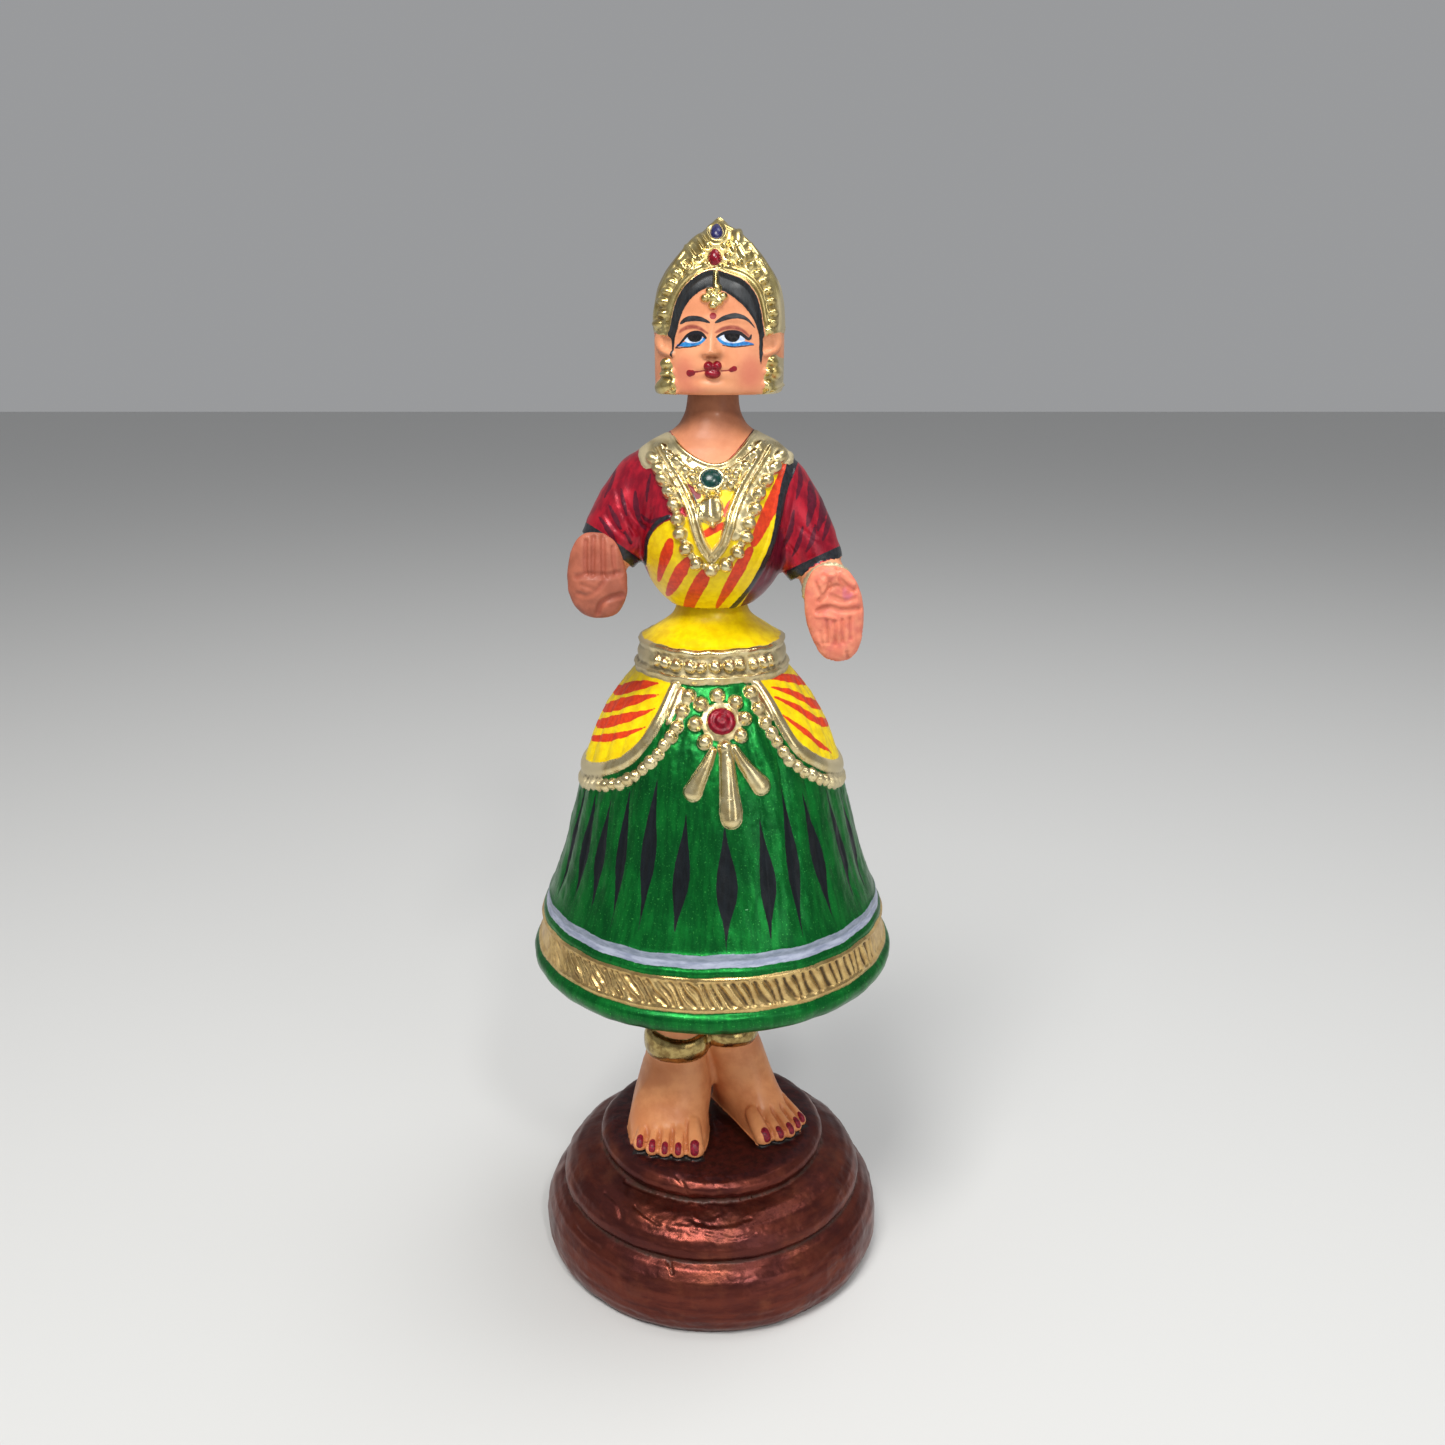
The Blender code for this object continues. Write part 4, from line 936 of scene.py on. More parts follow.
def build_skirt():
    line = np.array(SKIRT_LINE)
    run = np.concatenate([[0], np.cumsum(np.hypot(*np.diff(line, axis=0).T))])
    r_of, z_of = Smooth(list(zip(run, line[:, 0]))), Smooth(list(zip(run, line[:, 1])))
    fine = np.linspace(0, run[-1], 6000)
    fz = z_of(fine)
    gap = np.select([fz < 104.5, fz < 126, fz < 168, fz < 175], [0.42, 0.85, 0.43, 0.8], 2.2)
    count = np.concatenate([[0], np.cumsum(np.diff(fine) / gap[1:])])
    rows = int(count[-1])
    at = np.interp(np.linspace(0, count[-1], rows), count, fine)[::-1]
    z, rad = z_of(at), r_of(at)
    ang = spaced_angles(296, 118)
    s, c = np.sin(ang)[None, :], np.cos(ang)[None, :]

    def ring(z, rad):
        return np.stack([skirt_axis(z)[:, None] + rad[:, None] * s, -rad[:, None] * c, np.repeat(z[:, None], len(ang), 1)], -1)
    inside = np.array(SKIRT_IN)
    grid = np.concatenate([ring(z, rad), ring(inside[:, 1], inside[:, 0])])
    cols = len(ang)
    V = np.vstack([[[0.7, 0, 195.5]], grid.reshape(-1, 3), [[0.35, 0, 155.5]]])
    quads, top, low = lathe_grid(len(grid), cols)
    N = normals(V, quads)
    N[0] = (0, 0, 1)
    outer = np.zeros(len(V), bool)
    outer[:1 + rows * cols] = True
    x, zv = V[:, 0] - skirt_axis(V[:, 2]), V[:, 2]
    R = np.hypot(x, V[:, 1])
    a = np.degrees(np.arctan2(x, -V[:, 1]))
    # the side panels are mirrored on to the back half, so the relief is placed on folded points
    fold = np.where(np.abs(a) > 95, np.sign(a) * (190 - np.abs(a)), a)
    fr = np.radians(fold)
    Fp = np.stack([R * np.sin(fr), -R * np.cos(fr), zv], 1)
    order = np.argsort(line[:, 1][2:])
    line_z, line_r = line[2:, 1][order], line[2:, 0][order]

    def on(deg, zz):
        t = math.radians(deg)
        rr = float(np.interp(zz, line_z, line_r))
        return (rr * math.sin(t), -rr * math.cos(t), zz)

    def trace(pts, widths):
        """A rounded path over the bell with points every few degrees, and its half widths."""
        flat_path = rounded([(p[0] * 0.4, p[1]) for p in pts])
        run = np.concatenate([[0], np.cumsum(np.linalg.norm(np.diff(flat_path, axis=0), axis=1))])
        want = np.linspace(0, run[-1], max(8, int(run[-1] / 0.8)))
        path = np.array([on(np.interp(w, run, flat_path[:, 0]) / 0.4, np.interp(w, run, flat_path[:, 1])) for w in want])
        return path, np.interp(want / run[-1], np.linspace(0, 1, len(widths)), widths)

    Fx = np.stack([x, V[:, 1], zv], 1)
    r = Relief(len(V))
    # pressed folds between the painted diamonds
    marks = sorted([d[2] for d in DIAMONDS])
    marks = [-70.5] + marks
    step_back = 14.0
    m = marks[0] - step_back
    while m > marks[-1] - 360 + 9:
        marks.insert(0, m)
        m -= step_back
    marks = np.array(marks)
    ext = np.concatenate([marks[-3:] - 360, marks, marks[:3] + 360])
    ext.sort()
    i = np.clip(np.searchsorted(ext, a) - 1, 0, len(ext) - 2)
    t = (a - ext[i]) / (ext[i + 1] - ext[i])
    fade = step(103.8, 110, zv) * (1 - step(140, 157, zv))
    swell = 0.8 + 0.5 * lattice(i, 0 * i, 0 * i, 17)
    r.h += outer * fade * (0.62 * swell * np.sin(math.pi * np.clip(t, 0, 1)) ** 0.7 - 0.2)
    up = step(128, 150, zv) * (1 - step(156, 159, zv))
    r.h += outer * up * 0.10 * np.sin(a * 0.55 + 1.5 * np.sin(zv * 0.22))
    r.h += outer * step(104, 106, zv) * (1 - step(157, 159, zv)) * (0.12 * lumps(V * (1, 1, 0.3), 1.5, 5) + 0.08 * lumps(V, 0.95, 6))
    green_h = r.h.copy()

    # border: slanted ribs between two thin ridges
    seam = step(60, 70, np.abs(a)) * (1 - step(106, 118, np.abs(a)))
    lean = np.interp(a, [-60, -10, 20, 60], [0.95, 0.7, 0.45, 0.30]) + 0.12 * np.sin(a * 0.8)
    uneven = 0.35 * np.sin(a * 0.23 + 1.0) + 0.22 * np.sin(a * 0.61) + 0.30 * lumps(np.stack([a * 0.8, 0 * a, 0 * a], 1), 3.0, 24)
    phase = (np.radians(a) * 42.9 + (zv - 94) * lean + uneven) / (2 * math.pi * 42.9 / 112)
    rib = (0.5 + 0.5 * np.cos(2 * math.pi * phase)) ** 0.65
    # plainer, broader ribs over the back
    behind = step(100, 112, np.abs(a))
    rib = rib * (1 - behind) + behind * (0.5 + 0.5 * np.cos(np.radians(a) * 40 + (zv - 93) * 0.25)) ** 0.65
    pebble = step(-8, -40, a) * 0 + (1 - step(-30, 0, a)) * lumps(V, 0.95, 26)
    win = step(90.2, 90.9, zv) * (1 - step(95.9, 96.5, zv))
    wob = 0.12 * np.sin(a * 0.11 + 1) + 0.10 * np.sin(a * 0.37)
    strength = (1 - seam) * (0.75 + 0.25 * lumps(V, 6.0, 21)) * (1 - 0.5 * behind)
    r.h += outer * win * strength * (1.15 * rib - 0.48 + 0.26 * pebble)
    for zc, w, hgt in ((89.95, 0.55, 0.55), (96.75, 0.5, 0.5)):
        r.h += outer * hgt * np.exp(-((zv - zc - wob * 0.5) / w) ** 2)
    r.h += outer * 0.22 * np.exp(-((zv - 101.9 - wob) / 0.55) ** 2) - outer * 0.16 * np.exp(-((zv - 100.8 - wob) / 0.28) ** 2)
    r.h += outer * 0.30 * np.exp(-((zv - 98.3 - wob) / 0.6) ** 2) - outer * 0.12 * np.exp(-((zv - 97.3 - wob) / 0.25) ** 2)
    r.h += outer * (1 - step(88.0, 89.3, zv)) * (0.10 * lumps(V * (0.5, 0.5, 1), 1.3, 31) + 0.12 * lumps(V, 4.0, 32))

    # panels lie a little proud of the green, with soft lumps
    flat = np.stack([fold, zv], 1) * (0.40, 1.0)

    def outline(path):
        side = -100 if path[0][0] < 0 else 100
        p = np.vstack([path, [(side, 134.6), (side, 160.6), (path[0][0], 160.6)]]) * (0.40, 1.0)
        return polygon(flat, p)
    inside_l, inside_r = outline(SWAG_L), outline(SWAG_R)
    panel = np.maximum(inside_l, inside_r) * np.where((zv > 130) & outer, 1, -1) - 90 * ~((zv > 130) & outer)
    panel = np.where((zv > 130) & outer, np.maximum(inside_l, inside_r), -50)
    r.h += 0.25 * step(-0.3, 0.8, panel)

    # smooth gold edge and its beads
    gold_d = np.full(len(V), -50.0)
    for swag in (SWAG_L, SWAG_R):
        share, ins = stroke(Fp, *trace(swag, [1.0, 1.25, 1.4, 1.5, 1.6, 1.75, 1.8]))
        r.h = np.maximum(r.h, np.where(share < 1, 0.15 + 1.0 * np.clip(1 - share ** 2, 0, 1) ** 0.5, -9))
        gold_d = np.maximum(gold_d, ins + 0.1)
    centres, sizes = [], []
    for side in SWAG_BEADS:
        centres += [on(*p) for p in side[:3]]
        sizes += [1.62, 1.55, 1.5]
        path = trace(side[2:], [1])[0]
        run = np.concatenate([[0], np.cumsum(np.linalg.norm(np.diff(path, axis=0), axis=1))])
        many = int(run[-1] / 2.45)
        for k in range(1, many + 1):
            d = k * run[-1] / many
            centres.append(tuple(np.interp(d, run, path[:, ax]) + 0.12 * math.sin(k * 2.7 + ax) for ax in range(3)))
            sizes.append(1.44 + 0.10 * math.sin(k * 1.9))
    share, ins = spots(Fp, centres, sizes)
    weak = 1 - 0.45 * step(62, 80, np.abs(fold))
    r.h = np.maximum(r.h, np.where(share < 1, 1.75 * weak * np.clip(1 - share ** 2, 0, 1) ** 0.5, -9))
    gold_d = np.maximum(gold_d, ins + 0.12)
    # strip that the beads sit on
    for side in SWAG_BEADS:
        share, ins = stroke(Fp, *trace(side, [0.9]))
        r.h = np.maximum(r.h, np.where(share < 1, 0.1 + 0.35 * np.clip(1 - share ** 2, 0, 1) ** 0.5, -9))
        gold_d = np.maximum(gold_d, ins)
    # gold brushed between the edge and its beads, at the top and over the sides
    for swag, side in ((SWAG_L, SWAG_BEADS[0]), (SWAG_R, SWAG_BEADS[1])):
        top = [((p[0] + q[0]) / 2, (p[1] + q[1]) / 2) for p, q in zip(swag[1:4], side[:3])]
        share, ins = stroke(Fp, *trace(top, [1.2, 1.1, 0.5]))
        r.h = np.maximum(r.h, np.where(share < 1, 0.1 + 0.45 * np.clip(1 - share ** 2, 0, 1) ** 0.4, -9))
        gold_d = np.maximum(gold_d, ins)
        sgn = -1 if side[0][0] < 0 else 1
        low = [(sgn * 56, 136.6), (sgn * 64, 135.1), (sgn * 72, 134.0), (sgn * 82, 133.3), (sgn * 97, 133.0)]
        share, ins = stroke(Fp, *trace(low, [0.3, 1.1, 1.5, 1.7, 1.7]))
        r.h = np.maximum(r.h, np.where(share < 1, 0.1 + 0.55 * np.clip(1 - share ** 2, 0, 1) ** 0.4, -9))
        gold_d = np.maximum(gold_d, ins)
    # rosette: a red stone, beads round it, and three drops
    centre = on(*ROSETTE)
    d = Fx - np.array(centre)
    dist = np.linalg.norm(d, axis=1)
    gem = dist / 3.3
    r.h = np.maximum(r.h, np.where(dist < 5.0, 0.6 * np.clip(1 - (dist / 5.0) ** 2, 0, 1) ** 0.4, -9))
    r.h = np.maximum(r.h, np.where(gem < 1, 1.7 * np.clip(1 - gem ** 2, 0, 1) ** 0.35, -9))
    r.h -= 0.42 * np.exp(-((dist - 1.75) / 0.42) ** 2) + 0.12 * np.exp(-(dist / 0.5) ** 2)
    gold_d = np.maximum(gold_d, 4.6 - dist)
    red_d = 3.15 - dist
    drops = (((7.0, 145.2), (7.3, 142.0), (7.6, 137.4), (8.1, 133.0), (8.2, 131.6)), ((0.8, 146.0), (-1.8, 143.4), (-5.4, 140.0), (-7.8, 137.4)),
             ((11.0, 146.4), (14.6, 143.4), (18.8, 140.4), (21.8, 138.2)))
    widths = ([1.5, 1.75, 2.1, 2.55, 2.35], [0.75, 1.2, 1.7, 2.15], [0.8, 1.3, 1.8, 2.2])
    for pts, w in zip(drops, widths):
        share, ins = stroke(Fx, [on(*p) for p in pts], w)
        r.h = np.maximum(r.h, np.where(share < 1, 1.5 * np.clip(1 - share ** 2, 0, 1) ** 0.5, -9))
        gold_d = np.maximum(gold_d, ins + 0.1)
    share, ins = spots(Fx, [on(*p) for p in ROSETTE_BEADS], [1.66] * 8)
    r.h = np.maximum(r.h, np.where(share < 1, 1.9 * np.clip(1 - share ** 2, 0, 1) ** 0.5, -9))
    gold_d = np.maximum(gold_d, ins + 0.12)
    # grooves across and down the middle drop
    mid = stroke(Fx, [on(*p) for p in drops[0]], widths[0])[0]
    cut = (mid < 1) * (0.22 * np.exp(-((a - 7.8) / 0.6) ** 2) * (zv < 144) + 0.16 * np.exp(-((zv - 136.2 - 0.15 * (a - 7)) / 0.3) ** 2)
                       + 0.14 * np.exp(-((a - 9.6 - 0.2 * (140 - zv)) / 0.45) ** 2))
    r.h -= cut

    # belt: two ridges with beads between them over the front half
    front = 1 - step(46, 58, np.abs(a - 3))
    wav = 0.12 * np.sin(a * 0.09) + 0.08 * np.sin(a * 0.31 + 2)
    belt_on = outer * step(158.6, 159.2, zv) * (1 - step(166.5, 167.0, zv))
    r.h = np.where(belt_on > 0, np.maximum(r.h * (1 - belt_on), 0) + 0, r.h)
    r.h += belt_on * (0.35 + 0.95 * np.exp(-((zv - 160.1 - wav) / 0.75) ** 2) + 0.80 * np.exp(-((zv - 165.8 - wav) / 0.6) ** 2)
                      + (1 - front) * 0.35 * np.exp(-((zv - 163 - wav) / 1.3) ** 2))
    pitch = 9.9
    k = np.round((a - 2.9) / pitch)
    bead_a = (a - 2.9 - k * pitch - 0.9 * np.sin(k * 2.3)) * math.pi / 180 * 17.6
    bq = np.hypot(bead_a, zv - 163.0 - wav - 0.25 * np.sin(k * 3.1)) / (1.5 + 0.12 * np.sin(k * 1.7))
    r.h = np.maximum(r.h, np.where((bq < 1) & outer & (front > 0.02), 0.3 + front * 1.6 * np.clip(1 - bq ** 2, 0, 1) ** 0.5, -9))
    r.h += belt_on * 0.14 * lumps(V, 1.5, 44)
    gold_d = np.maximum(gold_d, np.where(outer, np.minimum(zv - 158.9 - wav, 166.55 + wav - zv), -50))
    gold_d = np.maximum(gold_d, np.where(outer, np.minimum(zv - 89.25 - 0.6 * wob, 97.35 + wob - zv), -50))
    # the green shows through in the hollows between the ribs
    bare = win * (1 - rib) * step(0.25, 0.6, lumps(V, 1.4, 77) + 0.3 * lumps(V, 0.6, 78)) * np.exp(-((a + 2) / 22.0) ** 2) * step(92.5, 94.5, zv)
    gold_d = np.where(bare > 0.35, np.minimum(gold_d, 0.55 - bare), gold_d)

    # waist: faint turned rings
    r.h += outer * step(166.9, 167.5, zv) * 0.05 * lumps(V * (0.4, 0.4, 1), 1.2, 41)
    h = r.h * outer
    h += outer * 0.08 * lumps(V, 5.0, 42)
    h *= np.where(zv > 175, 0, 1)
    h[0] = 0
    room = 45.27 - R                     # never past the hem's widest radius
    h = np.where(zv < 92, np.minimum(h, np.maximum(room, -0.3)), h)
    W = V + N * h[:, None]
    W[:, 2] = np.maximum(W[:, 2], 83.4)

    dia = np.full(len(V), -50.0)
    for a0, z0, a1, z1, a2, z2, w in DIAMONDS:
        path, thick = trace([(a0, z0 + 1.5)] + [(a0 + (a1 - a0) * u, z0 + (z1 - z0) * u) for u in (0.3, 0.65)] + [(a1, z1)]
                            + [(a1 + (a2 - a1) * u, z1 + (z2 - z1) * u) for u in (0.4, 0.75)] + [(a2, z2 - 0.4)],
                            [k * w * 1.16 for k in (0.02, 0.16, 0.36, 0.62, 0.88, 1.0, 0.92, 0.60, 0.28, 0.10, 0.02)])
        dia = np.maximum(dia, stroke(Fx, path, thick)[1])
    for mk in marks:
        if mk < -64:
            hi, wd = 131.0 + 5 * math.sin(mk * 3.1), 1.5
            path, thick = trace([(mk, hi), (mk, 124), (mk, 116), (mk, 110), (mk, 104.0)], [k * wd for k in (0.02, 0.2, 0.5, 0.85, 1.0, 0.8, 0.3, 0.02)])
            dia = np.maximum(dia, stroke(Fx, path, thick)[1])
    leaf = np.full(len(V), -50.0)
    for pts, w in LEAVES:
        full, thick = trace(pts, [k * 1.08 for k in w])
        leaf = np.maximum(leaf, stroke(Fp, full, thick)[1])
    U = chart(V)
    seen = facing(V, N) > 0.05
    scratch = np.where(seen & outer, stroke(U, rounded([(733, 912), (742, 913), (752, 906)]), 0.75)[1] * 0.23, -50)
    N2 = normals(W, quads)
    flow = np.stack([np.radians(a) * 36.0, zv, 0 * zv], 1)
    fields = {
        "gold_d": gold_d, "red_d": red_d, "leaf_d": np.where(panel > -0.2, leaf, -50), "dia_d": dia,
        "yellow_d": np.where(outer, np.maximum(panel, np.where(zv > 162, (zv - 166.4 - wav), -50)), -50),
        "silver_d": np.where(outer, np.minimum(zv - 99.35 - wob, 102.2 + 1.3 * wob - zv), -50),
        # where the border's rib valleys lie, for painted shade in them
        "between": np.clip(win * (1 - rib) * (1 - seam) * (0.62 + 0.42 * step(-30, 20, a)) * (1 - 0.6 * behind) * outer, 0, 1),
        "low_gold": (98.5 - zv) * outer,
        "silver_lit_low": 100.8 + wob - zv,
        "dull_glare_d": (np.abs(a - 3) - 58) * 0.4, "scratch_d": scratch, "flow": flow,
        "inside": np.where(outer, 0.0, 1.0), "hollow": hollows(W, quads, N2, 0.30) * step(-0.4, 0.2, gold_d),
    }
    p = Paint("skirt_paint", srgb(14, 120, 50), 0.33, 0.75)
    p.color = p.tone(srgb(8, 96, 38), srgb(18, 124, 48), 1.5, (1, 5, 1), where="flow", seed=2.0)
    p.color = p.mix(p.span(p.noise(11.0, 3.0, 0.5, seed=9.0), 0.35, 0.75, 0.0, 0.6), p.color, srgb(6, 74, 32))
    # bright green specks: painted glints of the metallic flake
    p.color = p.mix(p.span(p.noise(0.42, 2.0, 0.6, seed=14.0), 0.60, 0.78, 0.0, 0.6), p.color, srgb(84, 206, 96))
    p.layer(p.edge("dia_d", 0.07, 0.13, 0.9), p.tone(srgb(3, 7, 12), srgb(9, 17, 23), 0.9, (1, 6, 1), where="flow"), 0.5, 0.0)
    p.layer(p.edge("scratch_d", 0.05, 0.02, 0.3), srgb(110, 176, 126), 0.4, 0.1)
    # two tones of silver; the lighter lower half is also a painted highlight on its ridge, the greyer upper half
    # painted shade in its groove
    silver = p.mix(p.edge("silver_lit_low", 0.18, 0.14, 1.4), p.tone(srgb(122, 132, 148), srgb(148, 156, 172), 1.0, (3, 1, 1), where="flow"),
                   p.tone(srgb(178, 184, 202), srgb(138, 146, 168), 1.2, (4, 1, 1), where="flow"))
    p.layer(p.edge("silver_d", 0.08, 0.20, 1.6), silver, 0.38, 0.25)
    p.layer(p.edge("yellow_d", 0.08, 0.12, 1.2), p.tone(YELLOW_A, YELLOW_B, 2.5, seed=4.0), 0.36, 0.0)
    p.layer(p.edge("leaf_d", 0.10, 0.22, 1.2), p.tone(ORANGE_A, ORANGE_B, 1.2, seed=6.0), 0.40, 0.0)
    # pale, duller gold towards the sides and back: painted reflection of a glancing view, with a duller finish
    dull_glare = p.edge("dull_glare_d", 1.2, 0.6, 3.0)
    shade = p.mix(dull_glare, gold(p), GOLD_DULL_GLARE)
    shade = p.mix(p.math("MULTIPLY", p.span(p.attr("low_gold"), -1.0, 1.0), 0.8), shade, p.tone(srgb(216, 182, 116), srgb(186, 148, 88), 2.2, seed=5.0))
    # dark brown in the valleys between the ribs: painted shade
    shade = p.mix(p.span(p.attr("between"), 0.35, 0.95, 0.0, 0.85), shade, srgb(84, 60, 30))
    p.layer(p.edge("gold_d", 0.08, 0.18, 0.9), shade, p.mixf(dull_glare, 0.25, 0.45), p.mixf(dull_glare, 1.0, 0.6))
    p.layer(p.edge("red_d", 0.08, 0.10, 0.8), p.tone(srgb(140, 8, 32), srgb(100, 5, 24), 1.0), 0.24, 0.1)
    p.layer(p.attr("inside"), p.tone(srgb(160, 140, 112), srgb(128, 108, 84), 3.0), 0.9, 0.0)
    mat = p.done(((0.5, 0.026), (1.1, 0.035), (2.2, 0.06)), coat=0.06, ior=1.3)
    tri = np.vstack([top, low])
    return to_piece("skirt_painted", W, (quads, tri), fields, mat), len(quads) * 2 + len(tri)


# ---------------------------------------------------------------- torso

TORSO_ROWS = (     # height, centre x, half width, front depth, back depth, all in the torso's own frame
    (175.0, -0.8, 9.9, 10.2, 9.6), (177.4, -0.7, 12.4, 13.4, 11.2), (181.0, -0.5, 15.0, 16.6, 12.6),
    (186.0, -0.4, 17.0, 19.2, 13.6), (191.0, -0.4, 18.0, 20.2, 13.8), (196.0, -0.4, 18.4, 19.6, 13.6),
    (201.0, -0.4, 18.8, 17.2, 13.0), (205.0, -0.4, 18.2, 14.6, 12.2), (208.6, -0.4, 16.6, 12.2, 11.2),
    (211.2, -0.4, 14.2, 10.6, 10.2), (213.6, -0.5, 10.8, 8.8, 8.8), (216.2, -0.5, 7.6, 7.5, 7.5),
    (219.4, -0.5, 6.2, 6.2, 6.2), (224.0, -0.4, 5.7, 5.7, 5.7), (232.0, -0.2, 5.2, 5.2, 5.2),
    (238.0, 0.0, 4.6, 4.6, 4.6), (241.6, 0.0, 3.0, 3.0, 3.0), (243.0, 0.0, 0.6, 0.6, 0.6),
)
SLEEVE_L = (((-10.5, 0.5, 205.5), (-15.6, 0, 201.6), (-19.4, -1.2, 196.6), (-22.4, -2.6, 191.6), (-24.0, -3.4, 188.9)), (7.4, 8.3, 8.3, 7.9, 7.4))
SLEEVE_R = (((10.0, 0.5, 205.0), (14.2, 0, 200.5), (17.4, -1.0, 195.0), (20.4, -2.4, 189.2), (22.4, -3.3, 185.6)), (7.4, 8.2, 8.4, 7.9, 7.2))
FOREARM_L = (((-25.3, -3.5, 186.5), (-26.8, -9.5, 182.8), (-27.2, -16.5, 181.2), (-26.4, -22.4, 182.8)), (5.6, 5.7, 5.1, 4.3))
FOREARM_R = (((24.2, -3.6, 183.3), (25.4, -9.0, 180.6), (26.2, -15.5, 179.6), (26.4, -20.6, 179.4)), (5.3, 5.4, 4.9, 4.1))
HANDS = (          # centre, half width, half thickness, length, lean over the length, roundness, narrow end up
    ((-25.6, -24.6, 185.6), 6.5, 2.9, 18.8, -0.6, 2.6, 1.0),
    ((26.5, -22.8, 176.6), 6.5, 2.9, 21.4, -2.4, 2.6, -1.0),
)
SOCKET = ((172.0, 9.0), (176.0, 8.8), (179.0, 9.7), (182.0, 10.7), (186.0, 11.5), (191.0, 10.3), (194.6, 7.0), (195.8, 1.0))


def chain(P, pts, radii):
    """Distance to a tapering chain of capsules."""
    pts = np.asarray(pts, float)
    best = np.full(len(P), 1e9)
    for a, b, ra, rb in zip(pts[:-1], pts[1:], radii[:-1], radii[1:]):
        d = b - a
        t = np.clip(((P - a) @ d) / (d @ d), 0, 1)
        best = np.minimum(best, np.linalg.norm(P - (a + t[:, None] * d), axis=1) - (ra + (rb - ra) * t))
    return best


def hand_field(P, hand):
    c, hw, ht, length, lean, power, up = hand
    u = (P[:, 2] - c[2]) / (length / 2)
    w = hw * (1 - 0.16 * np.clip(up * u, 0, 1))
    t = ht * (1 - 0.18 * np.clip(up * u, -1, 1))
    dx = P[:, 0] - c[0] - lean * u * 0.5
    flat = np.sqrt((dx / w) ** 2 + ((P[:, 1] - c[1]) / t) ** 2)
    q = (flat ** power + np.abs(u) ** power) ** (1 / power)
    return (q - 1) * t


def torso_fields():
    cx, half, front, back = [Smooth([(r[0], r[i]) for r in TORSO_ROWS]) for i in (1, 2, 3, 4)]
    socket = Smooth(list(SOCKET))

    def parts(P):
        p = P - (LEAN_X, 0, 0)
        z = p[:, 2]
        h = half(z)
        d = np.where(p[:, 1] < 0, front(z), back(z))
        k = 2.15
        q = (np.abs((p[:, 0] - cx(z)) / h) ** k + np.abs(p[:, 1] / d) ** k) ** (1 / k)
        body = (q - 1) * np.minimum(h, d) * 0.92
        body = np.maximum(body, 175.0 - z)
        body = np.maximum(body, z - 242.9)
        sleeve = np.minimum(chain(p, *SLEEVE_L), chain(p, *SLEEVE_R))
        # the sleeves end in a clean cut round the arm
        cut_l = -((p[:, 0] + 25.0) * -0.56 + (p[:, 1] + 3.2) * -0.20 + (z - 187.3) * -0.80)
        cut_r = -((p[:, 0] - 24.1) * 0.42 + (p[:, 1] + 3.2) * -0.20 + (z - 183.2) * -0.88)
        arm = np.minimum(chain(p, *FOREARM_L), chain(p, *FOREARM_R))
        hands = np.minimum(hand_field(p, HANDS[0]), hand_field(p, HANDS[1]))
        sleeve = np.maximum(sleeve, -np.where(p[:, 0] < 0, cut_l, cut_r) * 0.9)
        arm = smin(arm, hands, 1.6)
        return body, sleeve, arm, np.where(p[:, 0] < 0, cut_l, cut_r)

    def whole(P):
        body, sleeve, arm, _ = parts(P)
        f = smin(smin(body, sleeve, 2.0), arm, 0.7)
        p = P - (LEAN_X, 0, 0)
        z = p[:, 2]
        hole = np.hypot(p[:, 0] - np.interp(z, [190, 196], [-0.8, -0.5]), p[:, 1]) - socket(z)
        hole = np.maximum(hole, z - 195.8)
        return np.maximum(f, -hole)
    return parts, whole


